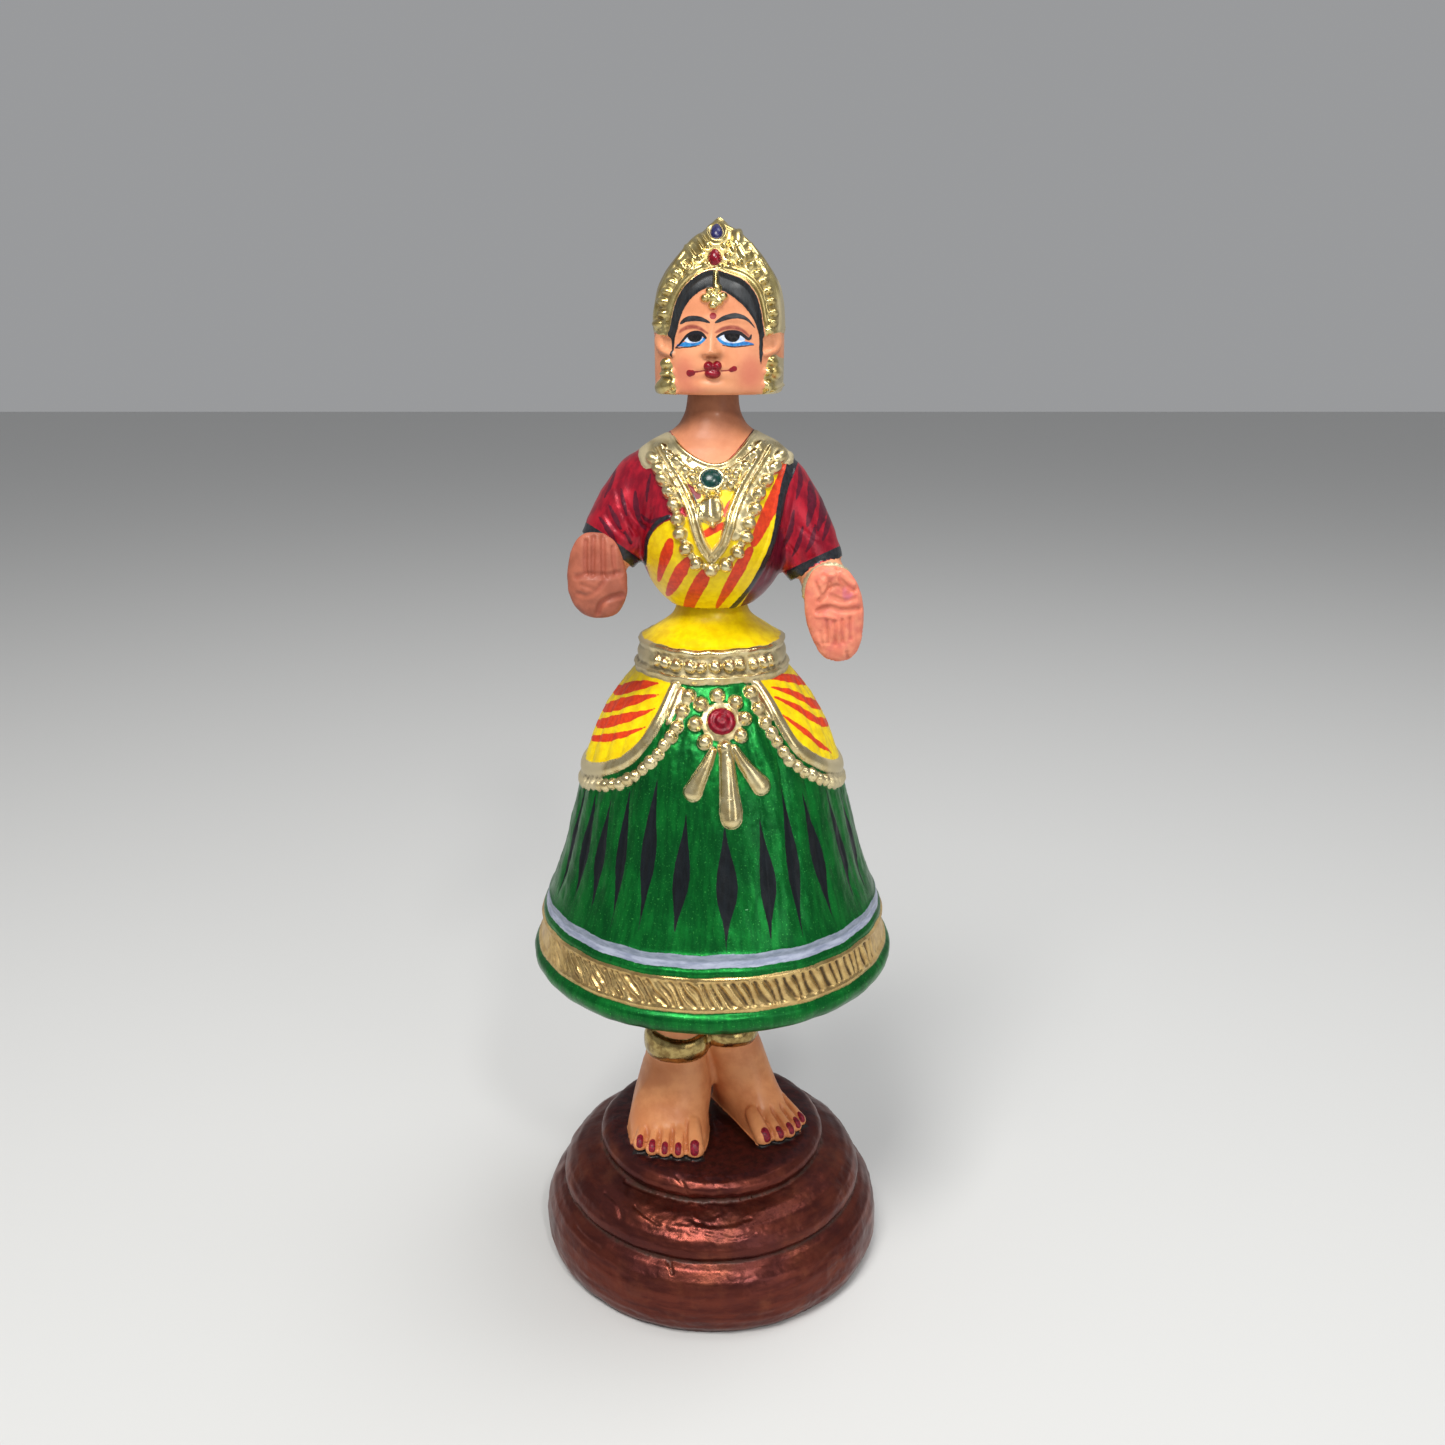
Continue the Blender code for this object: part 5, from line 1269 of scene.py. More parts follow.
def build_torso():
    parts, whole = torso_fields()
    lo, hi, h = (-34.4, -30.2, 163.9), (38.2, 16.8, 244.9), 0.72
    V, quads = surface_net(sample(whole, lo, hi, h), lo, h)
    T = split_quads(V, quads)
    V = relax(V, T, 2, 0.4)
    V = settle(V, whole, 2)

    def wanted(M):
        chest = (np.abs(M[:, 0] - 0.8) < 19) & (M[:, 1] < -5) & (M[:, 2] > 182) & (M[:, 2] < 216.5)
        palm = (np.abs(M[:, 0]) > 17.5) & (M[:, 1] < -21.5)
        cloth = (M[:, 1] < -1) & (M[:, 2] > 175) & (M[:, 2] < 214)
        return np.select([chest, palm, cloth], [0.34, 0.46, 0.75], 1.5)
    V, T = refine(V, T, wanted, 4)
    V = relax(V, T, 1, 0.4)
    V = settle(V, whole, 2)
    N = normals(V, T)
    body, sleeve, arm, past = parts(V)
    seen = facing(V, N)
    # the socket inside, which the charts don't reach
    axis = np.hypot(V[:, 0] - 0.6, V[:, 1])
    inner = (V[:, 2] < 196.2) & (axis < 12.4) & ((N[:, 0] * (V[:, 0] - 0.6) + N[:, 1] * V[:, 1]) < 0.02 * axis + 0.1 * (V[:, 2] < 194) - 0.1 * (V[:, 2] >= 194)) & (np.abs(body) > 0.9)
    on = step(0.02, 0.16, seen) * ~inner
    Q = chart(V, 555, 400, 4.9)
    X, Y = Q[:, 0], Q[:, 1]
    unit = 0.2300 / 4.9
    is_arm = (np.minimum(arm, 9) < np.minimum(body, sleeve) + 0.05) | ((np.abs(V[:, 0] - LEAN_X) > 18.6) & (past < 0.0) & (arm < 1.0))
    r = Relief(len(V))

    # necklaces
    def inward(pts, amount):
        """Raised work moves outwards as it is lifted, so it starts nearer the middle."""
        return [(768 + (x - 768) * (1 - amount * min(1.0, (800 - y) / 300.0) if y < 800 else 1.0), y) for x, y in pts]
    band_l = rounded(inward([(492, 238), (560, 350), (622, 452), (668, 550), (692, 640), (722, 718), (768, 772)], 0.07))
    band_r = rounded(inward([(1072, 228), (1002, 340), (942, 430), (886, 540), (852, 640), (826, 712), (768, 772)], 0.12))
    gold_d = np.full(len(V), -50.0)
    for line in (band_l, band_r):
        share, ins = stroke(Q, line, np.interp(np.linspace(0, 1, len(line)), [0, 0.5, 1], [36, 31, 26]))
        r.raise_to(share, 0.75, 0.3)
        gold_d = np.maximum(gold_d, ins)
        for off in (-1, 1):
            tan = np.gradient(line, axis=0)
            tan /= np.linalg.norm(tan, axis=1)[:, None]
            side = line + off * 15 * np.stack([tan[:, 1], -tan[:, 0]], 1)
            share, _ = stroke(Q, side, 12)
            r.raise_to(share, 1.25, 0.5)
    beads = inward([(455, 292), (487, 342), (506, 392), (538, 452), (568, 518), (592, 588), (608, 655), (642, 728)], 0.10) \
        + [(694, 798), (765, 828), (836, 806), (892, 744)] \
        + inward([(936, 672), (950, 606), (984, 536), (1006, 462), (1044, 398), (1082, 335), (1112, 282)], 0.045)
    # rough gold pressed between the chain and the bead string
    for pts in ([(496, 300), (548, 400), (596, 500)], [(1070, 300), (1010, 392), (958, 486), (918, 580), (884, 660)]):
        share, ins = stroke(Q, rounded(inward(pts, 0.06)), 30)
        r.raise_to(share, 0.62, 0.3)
        gold_d = np.maximum(gold_d, ins)
    rough_gold = 0.16 * lumps(V, 1.3, 54) * step(-4, 10, gold_d)
    share, ins = spots(Q, beads, [(34, 33)] * len(beads))
    r.raise_to(share, 2.1)
    gold_d = np.maximum(gold_d, ins + 1)
    line = rounded(beads, times=1)
    share, ins = stroke(Q, line, 18)
    r.raise_to(share, 0.7, 0.5)
    gold_d = np.maximum(gold_d, ins)
    collar = polygon(Q, rounded([(560, 150), (592, 200), (640, 268), (712, 312), (772, 328), (838, 316), (892, 262), (950, 190), (985, 130),
                                 (1060, 150), (1128, 205), (1166, 262), (1160, 330), (1080, 300), (1000, 330), (930, 372), (868, 440),
                                 (820, 440), (768, 452), (712, 440), (672, 428), (612, 372), (560, 360), (500, 330), (432, 345),
                                 (402, 250), (455, 205), (520, 170)], True, 1))
    r.h = np.maximum(r.h, 0.55 * step(-6, 14, collar))
    gold_d = np.maximum(gold_d, collar)
    # rim round the neck, choker beads, a second finer row
    share, ins = stroke(Q, rounded([(580, 190), (612, 240), (690, 300), (772, 332), (846, 316), (905, 262), (968, 178)]), 13)
    r.raise_to(share, 0.95)
    gold_d = np.maximum(gold_d, ins)
    share, ins = stroke(Q, rounded([(560, 260), (600, 296), (664, 352), (712, 366), (768, 344), (830, 362), (886, 330), (942, 282), (985, 232)]), 11)
    r.raise_to(share, 0.9)
    choker = [(598, 300), (642, 350), (678, 392), (712, 432), (838, 392), (862, 420), (886, 368), (932, 326), (974, 268), (996, 232),
              (560, 268), (536, 238), (845, 352), (702, 350)]
    share, ins = spots(Q, choker, [(27, 26)] * 10 + [(18, 18)] * 4)
    r.raise_to(share, 1.65)
    gold_d = np.maximum(gold_d, ins + 1)
    side_beads = [(520, 290), (545, 322), (575, 345), (1022, 262), (1046, 300), (900, 300), (660, 300), (955, 240), (512, 262), (1030, 225)]
    share, _ = spots(Q, side_beads, [(14, 14)] * len(side_beads))
    r.raise_to(share, 1.0)
    # green stone in its rim, fluted pendant below
    stone = np.hypot((X - 766) / 53, (Y - 396) / 46)
    r.raise_to(np.abs(stone - 1.06) / 0.24, 1.3)
    r.raise_to(stone, 1.75, 0.35)
    gold_d = np.maximum(gold_d, (1.28 - stone) * 46)
    green_d = (1.0 - stone) * 47
    pend = polygon(Q, rounded([(742, 470), (800, 470), (826, 520), (822, 590), (780, 612), (744, 604), (700, 580), (692, 530)], True))
    fan = 0.5 + 0.5 * np.cos((X - 762) / (6.0 + 0.055 * np.clip(Y - 460, 0, 200)))
    r.h = np.maximum(r.h, np.where(pend > 0, 1.7 * np.clip(pend / 26, 0, 1) ** 0.5 * (0.66 + 0.34 * fan), -9))
    gold_d = np.maximum(gold_d, pend + 4)
    small = [(742, 462), (798, 458), (704, 520), (712, 572), (772, 612)]
    share, ins = spots(Q, small, [(17, 16)] * len(small))
    r.raise_to(share, 1.4)
    gold_d = np.maximum(gold_d, ins + 1)
    # bust folds and the cloth's edge
    for pts, w, hgt in (([(1160, 262), (1110, 430), (1086, 600), (1048, 740), (975, 872), (872, 1010)], 26, 0.35),
                        ([(556, 578), (482, 622), (447, 700), (450, 800)], 18, 0.30),
                        ([(1186, 300), (1150, 500), (1120, 640)], 14, 0.2)):
        share, _ = stroke(Q, rounded(pts), w)
        r.add(share, hgt, 1.0)
    for pts, w, dep in (([(300, 430), (330, 560), (390, 660)], 16, -0.22), ([(250, 560), (300, 640), (380, 700)], 18, -0.25),
                        ([(470, 540), (430, 640), (420, 740)], 20, -0.3), ([(1230, 380), (1250, 520), (1300, 640)], 20, -0.22),
                        ([(1130, 700), (1180, 760), (1210, 830)], 20, -0.28), ([(1110, 640), (1090, 760), (1040, 880)], 18, -0.22),
                        ([(345, 500), (400, 600), (470, 640)], 14, -0.18), ([(1200, 620), (1280, 690), (1380, 700)], 14, -0.15)):
        share, _ = stroke(Q, rounded(pts), w)
        r.add(share, dep)
    chest_on = on * ~is_arm
    h = (r.h + rough_gold) * chest_on

    # hands: creases and finger lines
    g = Relief(len(V))
    left_lines = (([(150, 690), (144, 780), (150, 850)], 8, -0.42), ([(188, 668), (184, 760), (184, 856)], 8, -0.42), ([(236, 668), (236, 760), (238, 858)], 9, -0.45),
                  ([(286, 720), (290, 800), (300, 850)], 8, -0.3), ([(104, 868), (170, 856), (250, 866), (318, 850)], 12, -0.32),
                  ([(210, 1046), (222, 1000), (262, 972), (328, 956)], 11, -0.50), ([(110, 950), (160, 965), (210, 930), (250, 880)], 9, -0.25),
                  ([(128, 905), (180, 925)], 8, -0.2))
    right_lines = (([(1318, 862), (1352, 900), (1330, 950), (1290, 985)], 9, -0.40), ([(1392, 796), (1382, 850), (1420, 905), (1470, 930)], 9, -0.45),
                   ([(1285, 1035), (1340, 1010), (1410, 1035), (1490, 1020)], 10, -0.45), ([(1330, 1080), (1336, 1190)], 7, -0.36),
                   ([(1368, 1085), (1374, 1200)], 7, -0.38), ([(1408, 1080), (1412, 1190)], 7, -0.36), ([(1446, 1070), (1450, 1170)], 7, -0.32),
                   ([(1350, 960), (1420, 990), (1465, 975)], 9, -0.3), ([(1278, 900), (1300, 950)], 8, -0.25), ([(1430, 1235), (1440, 1280)], 7, -0.3),
                   ([(1300, 1140), (1310, 1190)], 7, -0.25))
    for pts, w, dep in left_lines + right_lines:
        share, _ = stroke(Q, rounded(pts), w * 1.9)
        g.add(share, dep * 1.3, 1.3)
    share, _ = spots(Q, [(272, 1012), (205, 780)], [(62, 46), (95, 90)])
    g.h += np.where(X < 400, 0.35 * np.exp(-((X - 275) / 50) ** 2 - ((Y - 1015) / 36) ** 2) - 0.40 * np.exp(-((X - 205) / 75) ** 2 - ((Y - 790) / 90) ** 2)
                    + 0.25 * np.exp(-((X - 150) / 36) ** 2 - ((Y - 930) / 60) ** 2), 0)
    g.h += np.where(X > 1150, -0.5 * np.exp(-((X - 1437) / 20) ** 2 - ((Y - 945) / 34) ** 2) + 0.4 * np.exp(-((X - 1360) / 60) ** 2 - ((Y - 862) / 18) ** 2)
                    - 0.3 * np.exp(-((X - 1330) / 30) ** 2 - ((Y - 1035) / 16) ** 2) + 0.35 * np.exp(-((X - 1310) / 34) ** 2 - ((Y - 850) / 46) ** 2) - 0.45 * np.exp(-((X - 1385) / 60) ** 2 - ((Y - 925) / 60) ** 2)
                    + 0.30 * np.exp(-((X - 1455) / 34) ** 2 - ((Y - 960) / 60) ** 2) + 0.2 * np.exp(-((X - 1380) / 60) ** 2 - ((Y - 1100) / 60) ** 2), 0)
    for pts, w, d in (([(1300, 905), (1345, 862), (1392, 838)], 24, 0.42), ([(1392, 838), (1430, 868), (1462, 905)], 18, 0.34),
                      ([(1345, 925), (1385, 905), (1420, 925)], 16, -0.40), ([(1282, 1062), (1330, 1058), (1375, 1072)], 14, 0.22)):
        share, _ = stroke(Q, rounded(pts), w)
        g.add(share, d)
    palm = on * is_arm * (V[:, 1] < -20)
    h = h + g.h * palm
    # the same finger lines, fainter, on the backs of the hands
    local = np.where(V[:, 0] < 0, V[:, 0] - LEAN_X + 25.6, V[:, 0] - LEAN_X - 26.5 + 0.2 * (V[:, 2] - 176.6))
    behind = is_arm * (seen < 0) * (V[:, 1] < -21)
    far_end = np.where(V[:, 0] < 0, step(184, 188, V[:, 2]), 1 - step(173, 177, V[:, 2]))
    h -= behind * far_end * 0.28 * (0.5 + 0.5 * np.cos(local * 2 * math.pi / 2.6)) ** 3
    # bangle on the +X wrist
    wrist = ((V - (LEAN_X + 25.8, -11.8, 180.2)) @ np.array([0.16, -0.97, -0.18]))
    bangle = is_arm & (V[:, 0] > 0) & (V[:, 1] > -17)
    ring = np.abs(wrist) / 1.1
    rope = 0.85 + 0.15 * np.sin(np.arctan2(V[:, 2] - 180.2, V[:, 0] - LEAN_X - 25.8) * 26 + wrist * 3)
    h = np.where(bangle & (ring < 1), h + 1.15 * rope * np.clip(1 - ring ** 2, 0, 1) ** 0.5, h)
    outside = ~inner
    h = h + outside * (0.10 * lumps(V, 4.5, 51) + (0.02 + 0.05 * is_arm) * lumps(V, 1.6, 52) + 0.22 * palm * lumps(V, 2.8, 53) + 0.10 * palm * (V[:, 0] > 0) * lumps(V, 1.5, 55))
    # a thin strip beside the cuff edge a little sunk
    cuff = (~is_arm) & (sleeve < body + 0.3) & (past < 2.9)
    h = h + cuff * on * 0 + (cuff & (past > 2.4)) * -0.12
    W = V + N * h[:, None]
    W[:, 2] = np.where(V[:, 1] > -19.7, np.clip(W[:, 2], 175.0, 243.0), W[:, 2])
    W[:, 2] = np.where(V[:, 2] > 242.0, np.minimum(W[:, 2], V[:, 2]), W[:, 2])

    # ---- painted areas
    sx, sz = V[:, 0] - LEAN_X, V[:, 2]
    neck_v = polygon(Q, [(540, -400), (545, 120), (584, 182), (622, 232), (700, 292), (770, 318), (832, 306), (884, 256), (950, 172), (985, 125), (990, -400)])
    neck = np.where(on > 0.02, neck_v * unit, np.where(inner, -9, sz - 213.6 + 1.2 * step(0, 6, V[:, 1])))
    arm_d = np.where(is_arm, 0.6, -1.0)
    arm_d = np.where(np.abs(sx) > 18, np.clip(np.where(is_arm, 0.5, -0.5) - past * 0.6, -2, 2), -2)
    arm_d = np.where(is_arm & (V[:, 1] < -19.0), 0.6, arm_d)
    skin = np.maximum(neck, arm_d)
    cuff_d = np.where((np.abs(sx) > 16.5) & (sz < 197), np.minimum(2.5 - past, 9), -50)
    black = np.maximum.reduce([
        brush(Q, [(560, 572), (520, 588), (480, 622), (448, 690), (446, 800)], [10, 13, 12, 10, 9]),
        brush(Q, [(1178, 262), (1150, 340), (1115, 450), (1090, 600), (1058, 720), (985, 868), (925, 955), (862, 1018)], [20, 26, 21, 17, 13, 11, 12, 10]),
        brush(Q, [(660, 470), (672, 500), (685, 528)], [18, 24, 14]),
    ])
    yellow = polygon(Q, rounded([(556, 588), (492, 632), (454, 700), (448, 800), (470, 890), (520, 960), (600, 1060), (880, 1060), (990, 872),
                                 (1060, 735), (1092, 600), (1116, 440), (1166, 250), (1130, 230), (1000, 300), (800, 360), (700, 440), (690, 560), (620, 580)], True, 1))
    inside_v = polygon(Q, [(700, 420), (860, 400), (900, 420), (850, 560), (835, 700), (772, 770), (712, 700), (690, 600), (672, 540), (690, 520)])
    yellow = np.maximum(yellow, inside_v)
    orange = np.maximum.reduce([
        brush(Q, [(1150, 296), (1108, 420), (1054, 530), (1012, 620), (972, 705)], [26, 34, 33, 29, 15]),
        brush(Q, [(566, 690), (545, 760), (522, 820), (508, 890)], [14, 30, 20, 4]),
        brush(Q, [(650, 785), (612, 845), (580, 905), (552, 955)], [16, 34, 28, 6]),
        brush(Q, [(742, 842), (716, 890), (680, 950), (655, 1010)], [22, 36, 34, 26]),
        brush(Q, [(958, 730), (900, 830), (850, 920), (792, 1016)], [14, 30, 24, 5]),
        brush(Q, [(740, 655), (780, 632), (836, 612)], [18, 20, 16]),
        brush(Q, [(712, 700), (732, 728), (758, 756)], [10, 13, 7]),
        brush(Q, [(838, 560), (852, 530), (860, 500)], [18, 20, 10]),
        brush(Q, [(582, 268), (606, 272)], [14, 12]),
    ])
    red_in = np.maximum(brush(Q, [(655, 420), (672, 452), (700, 470)], [16, 26, 16]), -1e3)
    wine = polygon(Q, rounded([(1098, 600), (1130, 700), (1130, 820), (1080, 880), (1000, 985), (880, 1040), (935, 955), (992, 872), (1064, 728)], True, 1))
    petals = np.maximum.reduce([brush(Q, p, w) for p, w in (
        ([(322, 430), (334, 500), (352, 570)], [3, 12, 3]), ([(392, 445), (396, 520), (412, 590), (440, 640)], [3, 15, 12, 3]),
        ([(262, 510), (296, 580), (330, 650)], [3, 13, 4]), ([(215, 570), (262, 640), (300, 700)], [3, 14, 5]),
        ([(424, 560), (458, 604), (520, 575)], [3, 11, 3]), ([(340, 640), (372, 700)], [4, 10]), ([(300, 330), (270, 420), (240, 480)], [3, 9, 3]),
        ([(470, 360), (452, 430), (448, 500)], [2, 9, 2]),
        ([(1196, 322), (1206, 400), (1180, 490)], [3, 14, 3]), ([(1248, 400), (1264, 500), (1236, 620)], [5, 24, 4]),
        ([(1302, 450), (1316, 540), (1290, 640)], [4, 20, 4]), ([(1345, 540), (1336, 620), (1312, 690)], [4, 14, 3]),
        ([(1170, 540), (1156, 640), (1118, 730)], [3, 15, 3]), ([(1215, 620), (1196, 700), (1160, 770)], [3, 13, 3]),
        ([(1275, 610), (1262, 690), (1225, 750)], [3, 13, 3]))])
    seen_on = on > 0.02

    # plainer back: the sash comes over the +X shoulder and goes down to the -X hip; the blouse carries the same petals
    bx = sx + (sz - 196) * 0.62 * -1
    sash_mid = (sz - 193) * 0.75
    across = (sx - sash_mid) * 0.8
    back_side = ~seen_on & outside & (V[:, 1] > -3)
    sash = np.where(back_side & (np.abs(sx) < 19), 6.2 - np.abs(across - 1.5), -50)
    sash = np.where(sz > 211.5, -50, sash)
    along = sx * 0.8 + (sz - 193) * 0.75 + 0.0
    stripe = np.abs(((along + 2) / 5.2) % 1 - 0.5) * 5.2
    back_orange = np.where(sash > 0.9, 1.15 * np.clip(sash / 4, 0, 1) - stripe, -50)
    back_black = 0.7 - np.abs(sash - 0.1)
    back_petal = np.where(back_side | ~seen_on, 0.9 * np.abs(np.sin(sz * 0.30)) - np.abs(((np.degrees(np.arctan2(sx, V[:, 1])) / 17.0) % 1) - 0.5) * 4.2, -50)
    back_gold = np.where(back_side | ~seen_on, np.minimum(sz - 208.9 + 0.4 * np.cos(sx * 0.4), 213.9 + 0.3 * np.cos(sx * 0.9) - sz), -50)
    back_gold = np.where(inner | is_arm, -50, back_gold)

    fields = {
        "skin_d": skin, "cuff_d": np.where(is_arm, -1, cuff_d), "head_shadow_z": np.where(is_arm, -9.0, V[:, 2] - 212.0),
        "gold_d": np.where(bangle & (np.abs(wrist) < 2), 1.15 - np.abs(wrist), np.where(seen_on & ~is_arm, gold_d * unit, back_gold)),
        "black_d": np.where(seen_on, black * unit, np.where(outside, back_black, -50)),
        "yellow_d": np.where(seen_on, yellow * unit, sash), "orange_d": np.where(seen_on, orange * unit, back_orange),
        "redin_d": np.where(seen_on, red_in * unit, -50), "wine_d": np.where(seen_on, wine * unit, -50),
        "petal_d": np.where(seen_on, petals * unit, back_petal), "green_d": np.where(seen_on, green_d * unit, -50),
        "left_palm_shade": np.where(is_arm & (sx < 0), np.clip(-V[:, 1] - 21.5, -1, 1), -1), "palm_r": np.where(is_arm & (sx > 0), np.clip(-V[:, 1] - 20.0, -1, 1), -1),
        "stain_d": np.where(seen_on, spots(Q, [(1437, 962), (1425, 950)], [(20, 16), (12, 26)])[1] * unit, -50),
        "dull_glare_d": np.where(seen_on, np.maximum.reduce([(470 - X) * 0.9 + (Y - 260) * 0.0, X - 1120, 205 - Y]) * unit, 3.0),
        "shade_d": np.where(seen_on, brush(Q, [(985, 140), (950, 190), (905, 245), (862, 290)], [7, 9, 6, 3]) * unit, -50),
        "inside": inner.astype(float),
    }
    N2 = normals(W, T)
    fields["hollow"] = hollows(W, T, N2, 0.40) * step(-0.6, 0.2, fields["gold_d"])
    # depth of the palm creases, for painted shade in them
    fields["crease"] = np.clip(-g.h * palm * 2.0, 0, 1)

    p = Paint("torso_paint", CRIMSON_A, 0.33, 0.35)
    p.color = p.tone(CRIMSON_A, CRIMSON_B, 2.2, (1, 1, 2.5), seed=11.0)
    p.layer(p.edge("wine_d", 0.25, 0.4, 2.0), p.tone(srgb(112, 22, 48), srgb(84, 14, 38), 2.0, (1, 1, 2)), 0.36, 0.35)
    p.layer(p.edge("petal_d", 0.10, 0.22, 1.1), p.tone(WINE, srgb(98, 16, 40), 1.0), 0.38, 0.3)
    p.layer(p.edge("yellow_d", 0.08, 0.12, 1.0), p.tone(YELLOW_A, YELLOW_B, 2.0, seed=4.0), 0.34, 0.0)
    p.layer(p.edge("orange_d", 0.10, 0.20, 1.0), p.tone(ORANGE_A, ORANGE_B, 1.2, seed=6.0), 0.38, 0.0)
    p.layer(p.edge("redin_d", 0.08, 0.2, 0.8), srgb(120, 8, 28), 0.55, 0.0)
    p.layer(p.edge("black_d", 0.08, 0.14, 1.0), p.tone(BLACK_A, BLACK_B, 0.9), 0.28, 0.0)
    p.layer(p.edge("cuff_d", 0.08, 0.16, 1.4), p.tone(BLACK_A, BLACK_B, 0.9), 0.28, 0.0)
    skin = p.tone(SKIN_A, SKIN_B, 7.0, seed=1.0)
    # darker, browner skin towards the top of the neck, and a little everywhere: painted shadow under the head
    skin = p.mix(p.span(p.attr("head_shadow_z"), -3.0, 7.0, 0.2, 1.0), skin, p.tone(srgb(182, 116, 82), srgb(162, 98, 68), 6.0))
    # darker, browner left palm: painted shade, the palm turned away from the light
    skin = p.mix(p.edge("left_palm_shade", 0.5, 0.3, 2.0), skin, p.tone(srgb(172, 96, 72), srgb(150, 80, 58), 4.0))
    skin = p.mix(p.edge("palm_r", 0.5, 0.3, 2.0), skin, p.tone(srgb(236, 144, 112), srgb(222, 122, 96), 3.0))
    skin = p.mix(p.math("MULTIPLY", p.edge("stain_d", 0.5, 0.5, 1.2), 0.55), skin, srgb(186, 92, 150))
    # darker in the palm creases, by their depth: painted shade
    skin = p.mix(p.span(p.attr("crease"), 0.1, 0.9, 0.0, 0.42), skin, srgb(150, 68, 52))
    skin = p.mix(p.math("MULTIPLY", p.edge("palm_r", 0.5, 0.3, 2.0), p.span(p.noise(2.6, 3.0, 0.6, seed=16.0), 0.45, 0.7, 0.0, 0.45)), skin, srgb(206, 96, 92))
    p.layer(p.edge("skin_d", 0.07, 0.10, 1.0), skin, 0.58, 0.0)
    p.layer(p.edge("shade_d", 0.08, 0.10, 0.8), srgb(36, 26, 22), 0.5, 0.0)
    # pale, duller gold at the outer edges: painted reflection of a glancing view, with a duller finish
    dull_glare = p.edge("dull_glare_d", 0.8, 0.5, 3.0)
    p.layer(p.edge("gold_d", 0.07, 0.20, 0.8), p.mix(dull_glare, gold(p), GOLD_DULL_GLARE), p.mixf(dull_glare, 0.27, 0.44), p.mixf(dull_glare, 1.0, 0.6))
    p.layer(p.edge("green_d", 0.07, 0.10, 0.6), p.tone(srgb(8, 46, 42), srgb(14, 64, 56), 0.8), 0.18, 0.0)
    p.layer(p.attr("inside"), p.tone(srgb(160, 140, 112), srgb(132, 112, 88), 2.5), 0.9, 0.0)
    mat = p.done(((0.5, 0.012), (1.8, 0.04)), coat=0.08, ior=1.42)
    return to_piece("torso_painted", W, T, fields, mat), len(T)


# ---------------------------------------------------------------- base with feet

TIERS = (          # radius, height
    (0.0, 0.0), (41.0, 0.0), (42.6, 0.5), (43.9, 2.2), (44.7, 5.0), (44.8, 8.0), (44.3, 11.6), (43.0, 14.8), (41.0, 17.0), (39.6, 17.9),
    (39.0, 18.2), (39.3, 18.6), (39.8, 19.8), (39.6, 21.6), (38.4, 23.6), (36.3, 25.6), (33.4, 27.0), (30.4, 27.8), (29.2, 28.1),
    (28.9, 28.5), (29.4, 29.2), (29.8, 30.4), (29.5, 31.8), (28.4, 33.1), (26.4, 33.8), (24.0, 34.0), (0.0, 34.0),
)
FEET = (           # ankle x, y, its radius; foot x, y, turn in degrees; half widths and middles along it; toes: across, end, radius
    (-9.0, 0.2, 6.9, -9.0, 0.2, -2.0, (4.8, 8.0, 10.3, 10.9, 10.4, 9.8, 8.6), (-0.6, -1.3, -2.2, -2.2, -1.7, -1.3, -1.2),
     ((-8.7, 17.9, 1.8), (-5.4, 19.7, 1.72), (-2.1, 20.6, 1.72), (1.3, 20.9, 1.8), (5.5, 20.6, 2.4))),
    (4.0, 4.0, 6.5, 8.0, 5.5, 32.0, (4.0, 5.6, 6.4, 7.0, 7.5, 8.0, 7.8), (0.0, 0.1, 0.6, 1.0, 1.0, 0.9, 0.8),
     ((-5.0, 20.7, 2.35), (-1.2, 21.4, 1.75), (2.1, 21.4, 1.7), (5.1, 20.2, 1.65), (7.5, 18.7, 1.6))),
)
FOOT_AT = (-8.8, -6.2, 0.5, 6.5, 12.0, 16.0, 20.0)
POST = ((84.6, 9.0), (104.0, 11.6), (126.0, 9.6), (146.0, 6.4), (152.8, 4.0), (154.7, 1.8), (155.2, 0.4))


